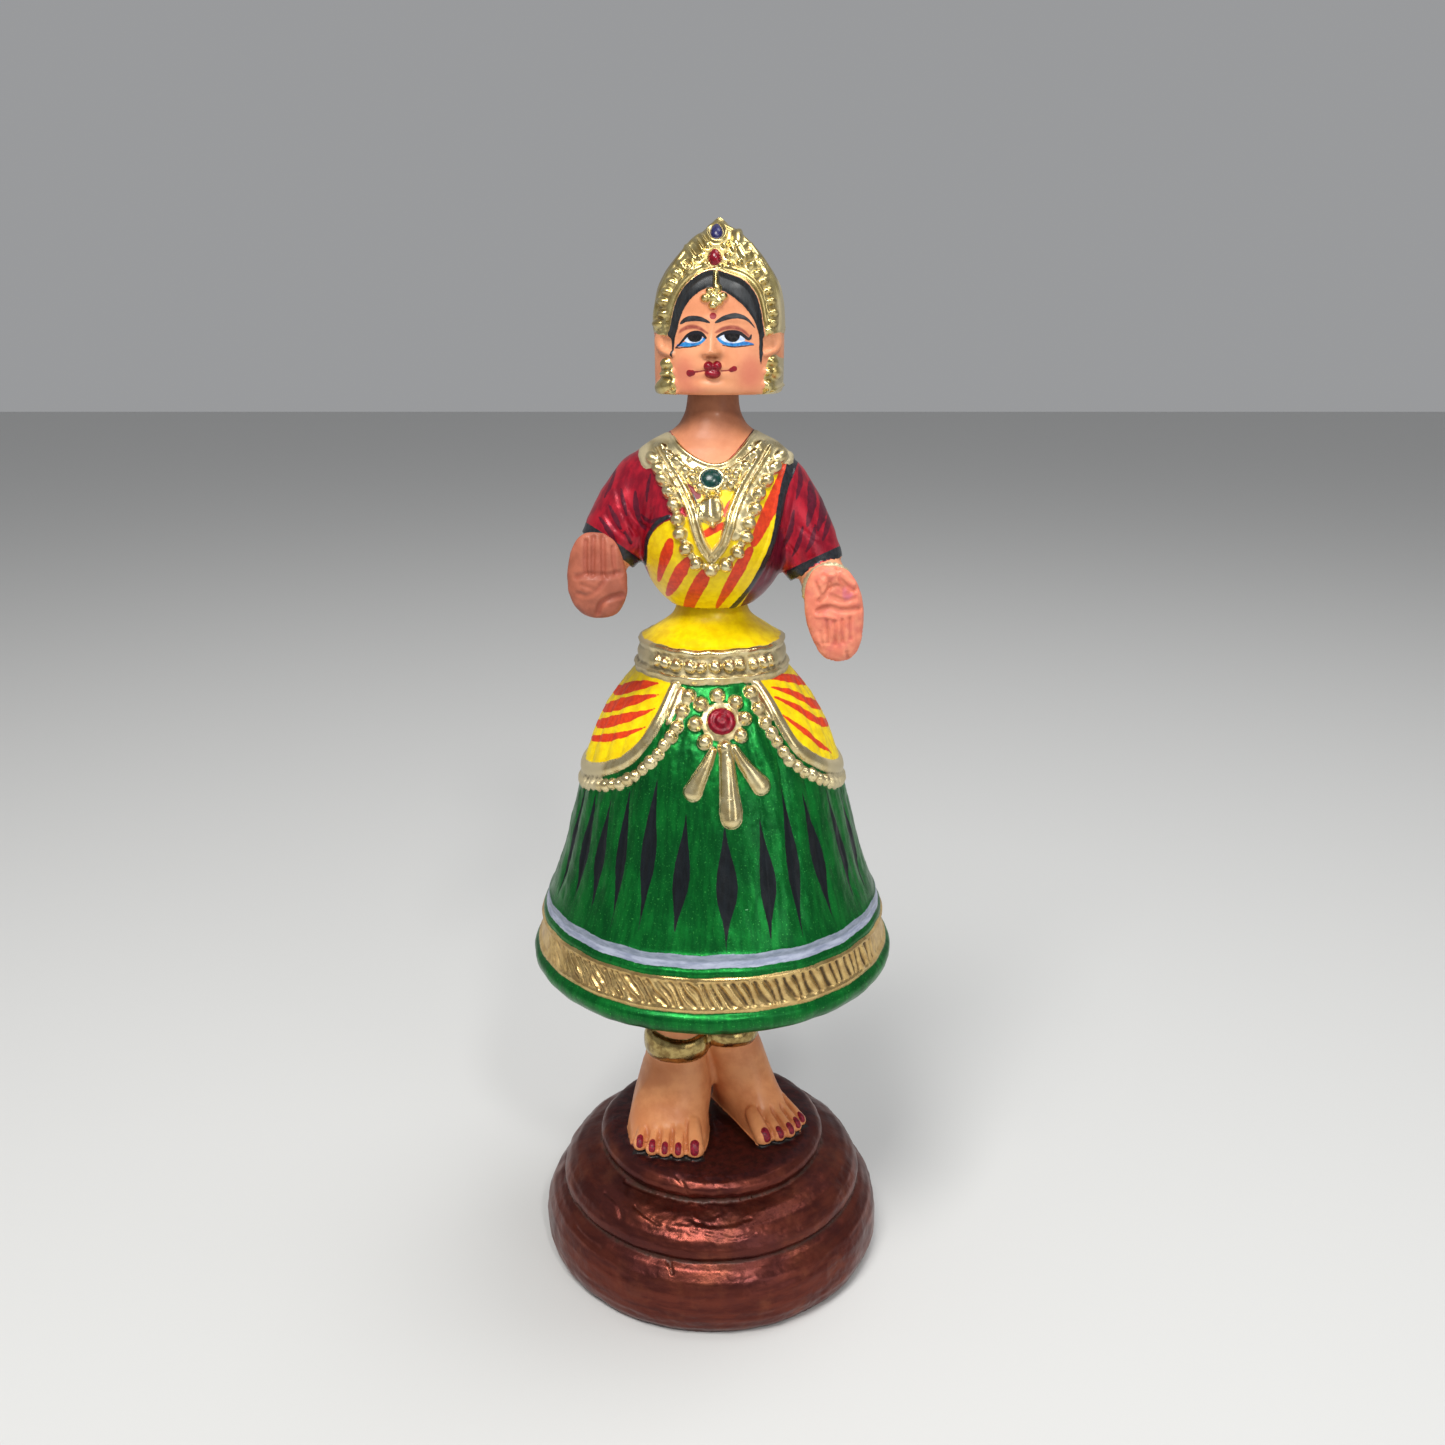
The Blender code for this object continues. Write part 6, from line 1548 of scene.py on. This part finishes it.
def base_fields():
    # the tiers' distance, from a table of their outline
    step_mm = 0.25
    rr, zz = np.arange(0, 52, step_mm), np.arange(-4, 42, step_mm)
    gr, gz = np.meshgrid(rr, zz, indexing="ij")
    outline = [(-30.0, 0.0)] + list(TIERS[1:-1]) + [(-30.0, 34.0)]
    table = -polygon(np.stack([gr.ravel(), gz.ravel()], 1), outline).reshape(gr.shape)

    def tiers(P):
        a = np.arctan2(P[:, 1], P[:, 0])
        ripple = 1 - 0.006 * (1 + np.sin(2 * a + 0.6)) / 2 - 0.006 * (1 + np.sin(3 * a + 2.2)) / 2
        rad = np.hypot(P[:, 0], P[:, 1]) / ripple
        i = np.clip(rad / step_mm, 0, len(rr) - 1.001)
        j = np.clip((P[:, 2] + 4) / step_mm, 0, len(zz) - 1.001)
        i0, j0 = i.astype(int), j.astype(int)
        u, v = i - i0, j - j0
        val = (table[i0, j0] * (1 - u) * (1 - v) + table[i0 + 1, j0] * u * (1 - v) + table[i0, j0 + 1] * (1 - u) * v + table[i0 + 1, j0 + 1] * u * v)
        over = np.maximum(P[:, 2] - 38, 0)
        return val + over

    def foot_frame(P, f):
        t = math.radians(f[5])
        dx, dy = P[:, 0] - f[3], P[:, 1] - f[4]
        return dx * math.sin(t) - dy * math.cos(t), dx * math.cos(t) + dy * math.sin(t), P[:, 2] - 33.2

    def toe_line(f, i):
        """Where toe i lies in the foot's frame: how far across, its end, its radius."""
        return f[8][i]

    def foot(P, f):
        s, l, z = foot_frame(P, f)
        out = np.full(len(P), 60.0)
        near = (z > -4) & (z < 34) & (np.abs(s) < 30) & (np.abs(l) < 18)
        s, l, z = s[near], l[near], z[near]
        hw, mid = np.interp(s, FOOT_AT, f[6]), np.interp(s, FOOT_AT, f[7])
        hh = np.interp(s, [-10.5, -8.8, -6.2, 0.5, 6.5, 10.0, 13.0, 15.0, 17.0, 19.0], [4, 9, 16, 22, 16.8, 11.8, 7.8, 5.4, 3.8, 3.0])
        hw = hw * (1 - 0.22 * np.clip(z / hh, 0, 1) ** 2)
        q = (np.abs((l - mid) / hw) ** 2.5 + np.abs((z + 2) / (hh + 2)) ** 2.3) ** (1 / 2.4)
        body = (q - 1) * np.minimum(hw, hh) * 0.8
        ends = np.interp(l, [t[0] for t in f[8]], [t[1] - 4.2 for t in f[8]])
        body = np.maximum(body, (s - ends) * 0.9)
        body = -smin(-body, s + 8.8, 2.5)
        toes = np.full(len(s), 60.0)
        for i in range(5):
            off, end, size = toe_line(f, i)
            lean = 0.06 * (i - 2)
            p0 = np.array([end - 9.0, off * 0.93 - lean * 6, 5.4])
            p1 = np.array([end - size, off, 2.5])
            d = p1 - p0
            w = np.stack([s, l, z], 1) - p0
            t = np.clip((w @ d) / (d @ d), 0, 1)
            gap = w - t[:, None] * d
            gap[:, 2] *= 0.9
            toes = smin(toes, np.linalg.norm(gap, axis=1) - size * (0.86 + 0.14 * t), 0.2)
        out[near] = smin(body, toes, 0.5)
        return out

    def leg(P, f):
        ax, ay, r, fx, fy = f[:5]
        pts = [(fx * 0.9 + ax * 0.1, fy * 0.8 + ay * 0.2 + 0.2, 43.0), (fx * 0.5 + ax * 0.5, fy * 0.6 + ay * 0.4, 49.8), (ax, ay, 57.2),
               (ax * 0.95, ay * 0.9, 71.0), (ax * 0.72, ay * 0.6, 86.0), (ax * 0.42, ay * 0.3, 98.0)]
        wide = 1.0 if ax < 0 else 0.0
        return chain(P, pts, (r + 0.6 + wide, r + 0.3 + wide * 0.7, r, r + 0.5, r + 1.8, r + 1.2))

    def anklet(P, f):
        ax, ay, r = f[:3]
        lift = 0.0 if ax < 0 else 1.3
        rho = np.hypot(P[:, 0] - ax, P[:, 1] - ay)
        tilt = 0.03 * (P[:, 1] - ay)
        turn = np.arctan2(P[:, 1] - ay, P[:, 0] - ax)
        tall = (3.6 if ax < 0 else 2.9) + 0.35 * np.sin(2 * turn + 1.0)
        across = np.abs(rho - r - 0.1 + 0.12 * np.sin(3 * turn)) / 1.85
        up = np.abs(P[:, 2] - 57.4 - lift + tilt - 0.3 * np.sin(turn * 2 + 0.5)) / tall
        return ((across ** 2.1 + up ** 2.1) ** (1 / 2.1) - 1) * 1.8

    shift = 0.4
    post_r = Smooth(list(POST))

    def post(P):
        k = 1 - (P[:, 2] - 84) / 71
        rho = np.hypot(P[:, 0] - shift + 1.2 * k, P[:, 1] - 1.3 * k)
        return np.maximum(np.maximum((rho - post_r(P[:, 2])) * 0.95, P[:, 2] - 155.2), 84.0 - P[:, 2])

    def parts(P):
        feet = np.minimum(foot(P, FEET[0]), foot(P, FEET[1]))
        legs = smin(leg(P, FEET[0]), leg(P, FEET[1]), 0.8)
        # the legs are cast together down to the ankles
        legs = smin(legs, chain(P, [(-2.4, 2.6, 66.0), (-1.6, 2.8, 52.0), (-0.2, 2.4, 44.6)], (3.0, 2.8, 2.3)), 0.8)
        legs = smin(legs, post(P), 2.0)
        skin = smin(feet, legs, 3.6)
        ring = np.minimum(anklet(P, FEET[0]), anklet(P, FEET[1]))
        return tiers(P), skin, ring

    def whole(P):
        t, skin, ring = parts(P)
        return np.minimum(smin(t, skin, 0.5), ring)
    return parts, whole, foot_frame, toe_line


def build_base():
    parts, whole, foot_frame, toe_line = base_fields()
    lo, hi, h = (-47.3, -47.3, -1.62), (47.3, 47.3, 158.0), 0.98
    V, quads = surface_net(sample(whole, lo, hi, h), lo, h)
    T = split_quads(V, quads)
    V = relax(V, T, 2, 0.4)
    V = settle(V, whole, 2)

    def wanted(M):
        toes = (M[:, 2] > 33.6) & (M[:, 2] < 44) & (M[:, 1] < -1) & (np.hypot(M[:, 0], M[:, 1]) < 27.5)
        feet = (M[:, 2] > 34.3) & (M[:, 2] < 63.5) & (M[:, 1] < 6)
        front = (M[:, 1] < -8) & (M[:, 2] > 3) & (M[:, 2] <= 36)
        return np.select([toes, feet, front], [0.42, 0.70, 0.72], 2.2)
    V, T = refine(V, T, wanted, 4)
    V = relax(V, T, 1, 0.4)
    V = settle(V, whole, 3)
    N = normals(V, T)
    tier, skin, ring = parts(V)
    seen = facing(V, N)
    on = step(0.02, 0.16, seen)
    Q = chart(V, 530, 1000, 4.356)
    X, Y = Q[:, 0], Q[:, 1]
    unit = 0.0575
    is_skin = (skin < tier) & (skin < ring)
    is_ring = (ring < tier) & (ring <= skin)
    is_tier = ~is_skin & ~is_ring
    h = np.zeros(len(V))
    # hand pressed tiers: soft dents, brush drag round the rings, a crack and creases in front
    a = np.arctan2(V[:, 1], V[:, 0])
    rad = np.hypot(V[:, 0], V[:, 1])
    low = V[:, 2] > 0.6
    drag = np.stack([np.cos(a) * 16, np.sin(a) * 16, V[:, 2] * 1.6], 1)
    h += is_tier * low * (0.30 * lumps(V, 11.0, 61) + 0.14 * lumps(V, 4.0, 62) + 0.07 * lumps(drag, 1.6, 63))
    r = Relief(len(V))
    for pts, w, d in (([(600, 1128), (612, 1160), (618, 1192)], 9, -0.55), ([(716, 965), (790, 985), (880, 975), (960, 950)], 13, -0.18),
                      ([(700, 1000), (780, 1022), (870, 1030)], 11, -0.14), ([(460, 900), (500, 940), (560, 975)], 12, -0.35),
                      ([(820, 1045), (900, 1040), (980, 1015)], 9, -0.22), ([(330, 840), (380, 880), (400, 950)], 16, -0.3),
                      ([(640, 770), (668, 800), (680, 842)], 12, -0.3), ([(420, 790), (480, 820), (540, 838)], 14, -0.35),
                      ([(200, 990), (240, 1040), (300, 1080)], 14, -0.3)):
        share, _ = stroke(Q, rounded(pts), w)
        r.add(share, d)
    for x0, y0, rx, ry, d in ((830, 905, 90, 36, 0.30), (520, 790, 60, 26, 0.30), (460, 935, 70, 50, 0.26), (800, 820, 120, 20, 0.16),
                              (450, 1110, 90, 34, 0.22), (900, 1110, 130, 26, 0.14), (700, 690, 90, 30, -0.22)):
        r.h += d * np.exp(-((X - x0) / rx) ** 2 - ((Y - y0) / ry) ** 2)
    fine = (0.10 * lumps(V * (1, 1, 1.8), 0.9, 64)) * np.exp(-((X - 850) / 190) ** 2 - ((Y - 960) / 80) ** 2)
    # cracked, wrinkled skin of paint, mostly over the front of the middle tier
    crinkle = np.abs(lumps(V * (1, 1, 1.6), 2.4, 65)) ** 0.6 - 0.5 + 0.5 * (np.abs(lumps(V * (1.3, 1, 1), 1.3, 66)) ** 0.6 - 0.5)
    where = 0.35 + 0.9 * np.clip(lumps(V, 12.0, 67), 0, 1) + 0.9 * np.exp(-((X - 700) / 330) ** 2 - ((Y - 930) / 110) ** 2)
    h += is_tier * low * 0.17 * crinkle * where
    wrinkle = np.abs(lumps(V * (1.0, 1.0, 2.2) + 0.6 * lumps(V, 3.0, 68)[:, None], 1.15, 69)) ** 0.7 - 0.45
    h += is_tier * low * 0.16 * wrinkle * np.exp(-((X - 760) / 260) ** 2 - ((Y - 950) / 150) ** 2)
    h += (r.h + fine) * on * is_tier
    # toes: grooves between them, nails, a tendon or two
    g = Relief(len(V))
    nail, contact, toe_contact_shadow = np.full(len(V), -50.0), np.full(len(V), -50.0), np.full(len(V), -50.0)
    for f in FEET:
        fs, fl, fz = foot_frame(V, f)
        L = np.stack([fs, fl, fz], 1)
        mine = (fs > 6) & (fs < 26) & (np.abs(fl) < 13) & (fz < 14)
        lines = [toe_line(f, i) for i in range(5)]
        for i in range(5):
            off, end, size = lines[i]
            share, ins = stroke(L, [(end - 1.55, off, 4.6), (end - 0.4, off, 3.2)], [0.80 * size / 1.9 + 0.14, 0.76 * size / 1.9 + 0.14])
            share = np.where(mine & (fs > end - 5), share, 9)
            nail = np.maximum(nail, np.where(mine & (fs > end - 5), ins, -50))
            g.add(share, 0.16, 0.8)
            if i < 4:
                o2, e2, _ = lines[i + 1]
                share, _ = stroke(L, [((end + e2) / 2 - 8.6, (off + o2) / 2 * 0.95, 7.2), ((end + e2) / 2 - 4.6, (off + o2) / 2, 4.6), ((end + e2) / 2 - 1.6, (off + o2) / 2, 3.2)],
                                  [0.5, 1.1, 1.2])
                g.add(np.where(mine, share, 9), -0.42, 1.0)
        ends = np.interp(fl, [ln[0] for ln in lines], [ln[1] for ln in lines])
        inside = np.minimum(fl - lines[0][0] + lines[0][2], lines[4][0] + lines[4][2] - fl) + 0.2
        # a thin band under the toe ends, for a painted contact shadow
        toe_contact_shadow = np.maximum(toe_contact_shadow, np.where(mine, np.minimum(0.8 - np.abs(fs - ends + 0.9), inside), -50))
    toe_contact_shadow = np.where(V[:, 2] < 35.0, toe_contact_shadow, -50)
    g.h += 0.25 * np.exp(-((X - 640) / 60) ** 2 - ((Y - 420) / 110) ** 2) - 0.2 * np.exp(-((X - 560) / 26) ** 2 - ((Y - 300) / 80) ** 2)
    h += g.h * is_skin * (V[:, 2] > 33.6)
    h += (is_skin & (V[:, 2] < 82)) * (0.12 * lumps(V, 5.0, 71) + 0.03 * lumps(V, 1.5, 72))
    h += is_ring * (0.16 * lumps(V, 3.2, 73) + 0.05 * lumps(V, 1.2, 74))
    h *= low
    W = V + N * h[:, None]
    W[:, 2] = np.where(V[:, 2] < 0.6, np.maximum(V[:, 2] * 1.0, 0), np.maximum(W[:, 2], 0))
    W[:, 2] = np.where(V[:, 2] < 0.12, 0.0, W[:, 2])
    reach = np.hypot(W[:, 0], W[:, 1])
    W[:, :2] *= np.minimum(1, 45.1 / np.maximum(reach, 1e-6))[:, None]

    groove = np.minimum(np.hypot(rad - 29.0, V[:, 2] - 28.3), np.hypot(rad - 39.1, V[:, 2] - 18.3))
    # outline of the platform between the feet, for a painted shadow there
    gap = np.maximum(polygon(Q, rounded([(782, 395), (842, 400), (905, 520), (1010, 650), (960, 640), (880, 560), (800, 500), (792, 640), (776, 640)], True, 1)), -1e3)
    seen_on = on > 0.02
    fields = {
        "skin_d": np.clip(np.minimum(tier, ring) - skin, -3, 3), "ring_d": np.clip(np.minimum(tier, skin) - ring, -3, 3),
        "nail_d": np.where(is_skin, nail, -50), "toe_contact_shadow_d": toe_contact_shadow,
        "feet_gap_shadow_d": np.where(seen_on & is_tier, gap * unit, -50), "groove_shade_d": 0.5 - groove,
        "toe_shade": np.clip(-g.h * is_skin * 1.9, 0, 1), "high": np.clip(V[:, 2] / 34, 0, 1.2),
        "platform_shadow_d": np.where(is_tier, V[:, 2] - 33.2, -5), "flow": np.stack([a * 40, rad * 0 + V[:, 2], rad], 1),
        "inside": np.clip(V[:, 2] - 90, 0, 1) * 0.0 + (V[:, 2] < 0.05) * 1.0,
    }
    N2 = normals(W, T)
    fields["hollow"] = hollows(W, T, N2, 0.55) * is_tier
    p = Paint("base_paint", srgb(116, 52, 42), 0.35, 0.88)
    p.color = p.tone(srgb(110, 52, 40), srgb(86, 39, 33), 2.2, (5, 1, 2), where="flow", seed=2.0)
    # lighter copper patches: painted highlights
    p.color = p.mix(p.span(p.noise(8.0, 4.0, 0.6, seed=5.0), 0.48, 0.80, 0.0, 0.5), p.color, srgb(150, 84, 58))
    p.color = p.mix(p.span(p.noise(14.0, 3.0, 0.5, seed=6.0), 0.45, 0.72, 0.0, 0.5), p.color, srgb(72, 35, 37))
    # darker top platform: painted shadow under the skirt
    p.layer(p.edge("platform_shadow_d", 0.5, 0.5, 3.0), p.tone(srgb(84, 36, 34), srgb(58, 26, 28), 2.0), 0.42, 0.75)
    # darker in the grooves between the tiers: painted shade
    p.layer(p.math("MULTIPLY", p.edge("groove_shade_d", 0.45, 0.4, 2.0), 0.45), srgb(46, 19, 16), 0.5, 0.9)
    # dark platform between the feet: painted shadow
    p.layer(p.math("MULTIPLY", p.edge("feet_gap_shadow_d", 0.8, 0.4, 1.2), 0.7), srgb(34, 14, 12), 0.5, 0.85)
    skin = p.tone(srgb(232, 158, 104), srgb(212, 134, 84), 8.0, seed=1.0)
    skin = p.mix(p.span(p.attr("toe_shade"), 0.1, 0.9, 0.0, 0.6), skin, srgb(168, 84, 40))
    p.layer(p.edge("skin_d", 0.08, 0.08, 1.0), skin, 0.42, 0.0)
    # near-black line under the toes: painted contact shadow
    p.layer(p.edge("toe_contact_shadow_d", 0.10, 0.20, 0.8), srgb(22, 14, 16), 0.45, 0.0)
    p.layer(p.edge("nail_d", 0.08, 0.14, 0.6), p.tone(srgb(150, 10, 42), srgb(92, 4, 26), 0.45), 0.5, 0.0)
    p.layer(p.edge("ring_d", 0.08, 0.12, 1.2), p.tone(srgb(184, 162, 104), srgb(134, 110, 66), 2.2), 0.22, 1.0)
    p.layer(p.attr("inside"), p.tone(srgb(120, 72, 56), srgb(92, 54, 44), 4.0), 0.85, 0.0)
    mat = p.done(((0.5, 0.02), (1.1, 0.05), (2.6, 0.07)), coat=0.06, coat_rough=0.3, ior=1.42)
    return to_piece("base_painted", W, T, fields, mat), len(T)


# ---------------------------------------------------------------- stage, camera, light

def area_light(name, place, aim, size, power, color=(1, 1, 1)):
    data = bpy.data.lights.new(name, "AREA")
    data.shape = "RECTANGLE"
    data.size, data.size_y = size
    data.energy = power
    data.color = color
    ob = bpy.data.objects.new(name, data)
    ob.location = place
    d = np.array(aim, float) - np.array(place, float)
    d /= np.linalg.norm(d)
    ob.rotation_euler = (math.acos(-d[2]), 0.0, math.atan2(d[1], d[0]) - math.pi / 2)
    bpy.context.scene.collection.objects.link(ob)
    return ob


def build_stage():
    mesh = bpy.data.meshes.new("floor")
    mesh.from_pydata([(-3, -3, 0), (3, -3, 0), (3, 3, 0), (-3, 3, 0)], [], [(0, 1, 2, 3)])
    floor = bpy.data.objects.new("floor", mesh)
    mat = bpy.data.materials.new("floor_pale")
    mat.use_nodes = True
    b = mat.node_tree.nodes["Principled BSDF"]
    b.inputs["Base Color"].default_value = (0.62, 0.62, 0.61, 1)
    b.inputs["Roughness"].default_value = 0.7
    mesh.materials.append(mat)
    bpy.context.scene.collection.objects.link(floor)
    world = bpy.data.worlds.new("studio")
    world.use_nodes = True
    back = world.node_tree.nodes["Background"]
    back.inputs["Color"].default_value = (0.80, 0.81, 0.83, 1)
    back.inputs["Strength"].default_value = 0.40
    bpy.context.scene.world = world
    area_light("key", (-0.22, -0.50, 0.95), (0.0, 0.0, 0.13), (0.34, 0.34), 8.0, (1.0, 0.985, 0.96))
    area_light("top", (0.30, 0.10, 1.05), (0.0, 0.0, 0.13), (0.5, 0.5), 3.6, (0.98, 0.99, 1.0))
    area_light("fill", (0.65, -0.75, 0.35), (0.0, 0.0, 0.13), (0.4, 0.5), 1.2, (0.97, 0.98, 1.0))
    area_light("glint", (0.16, -0.55, 0.62), (0.0, 0.0, 0.14), (0.08, 0.08), 1.5, (1.0, 1.0, 0.98))
    cam = bpy.data.cameras.new("camera")
    cam.lens, cam.sensor_width, cam.sensor_fit = 33.26, 36.0, "HORIZONTAL"
    cam.clip_start, cam.clip_end = 0.01, 20.0
    ob = bpy.data.objects.new("camera", cam)
    ob.location = (CAM_X * MM, CAM_Y * MM, CAM_Z * MM)
    ob.rotation_euler = (math.pi / 2 - CAM_TILT, 0, 0)
    bpy.context.scene.collection.objects.link(ob)
    bpy.context.scene.camera = ob


bpy.context.scene.view_settings.view_transform = "Standard"
build_stage()
made = {}
for node, build in (("head", build_head), ("skirt", build_skirt), ("torso", build_torso), ("base_with_feet", build_base)):
    piece, made[node] = build()
    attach(piece, "root")
    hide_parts(node)
print("triangles", made)
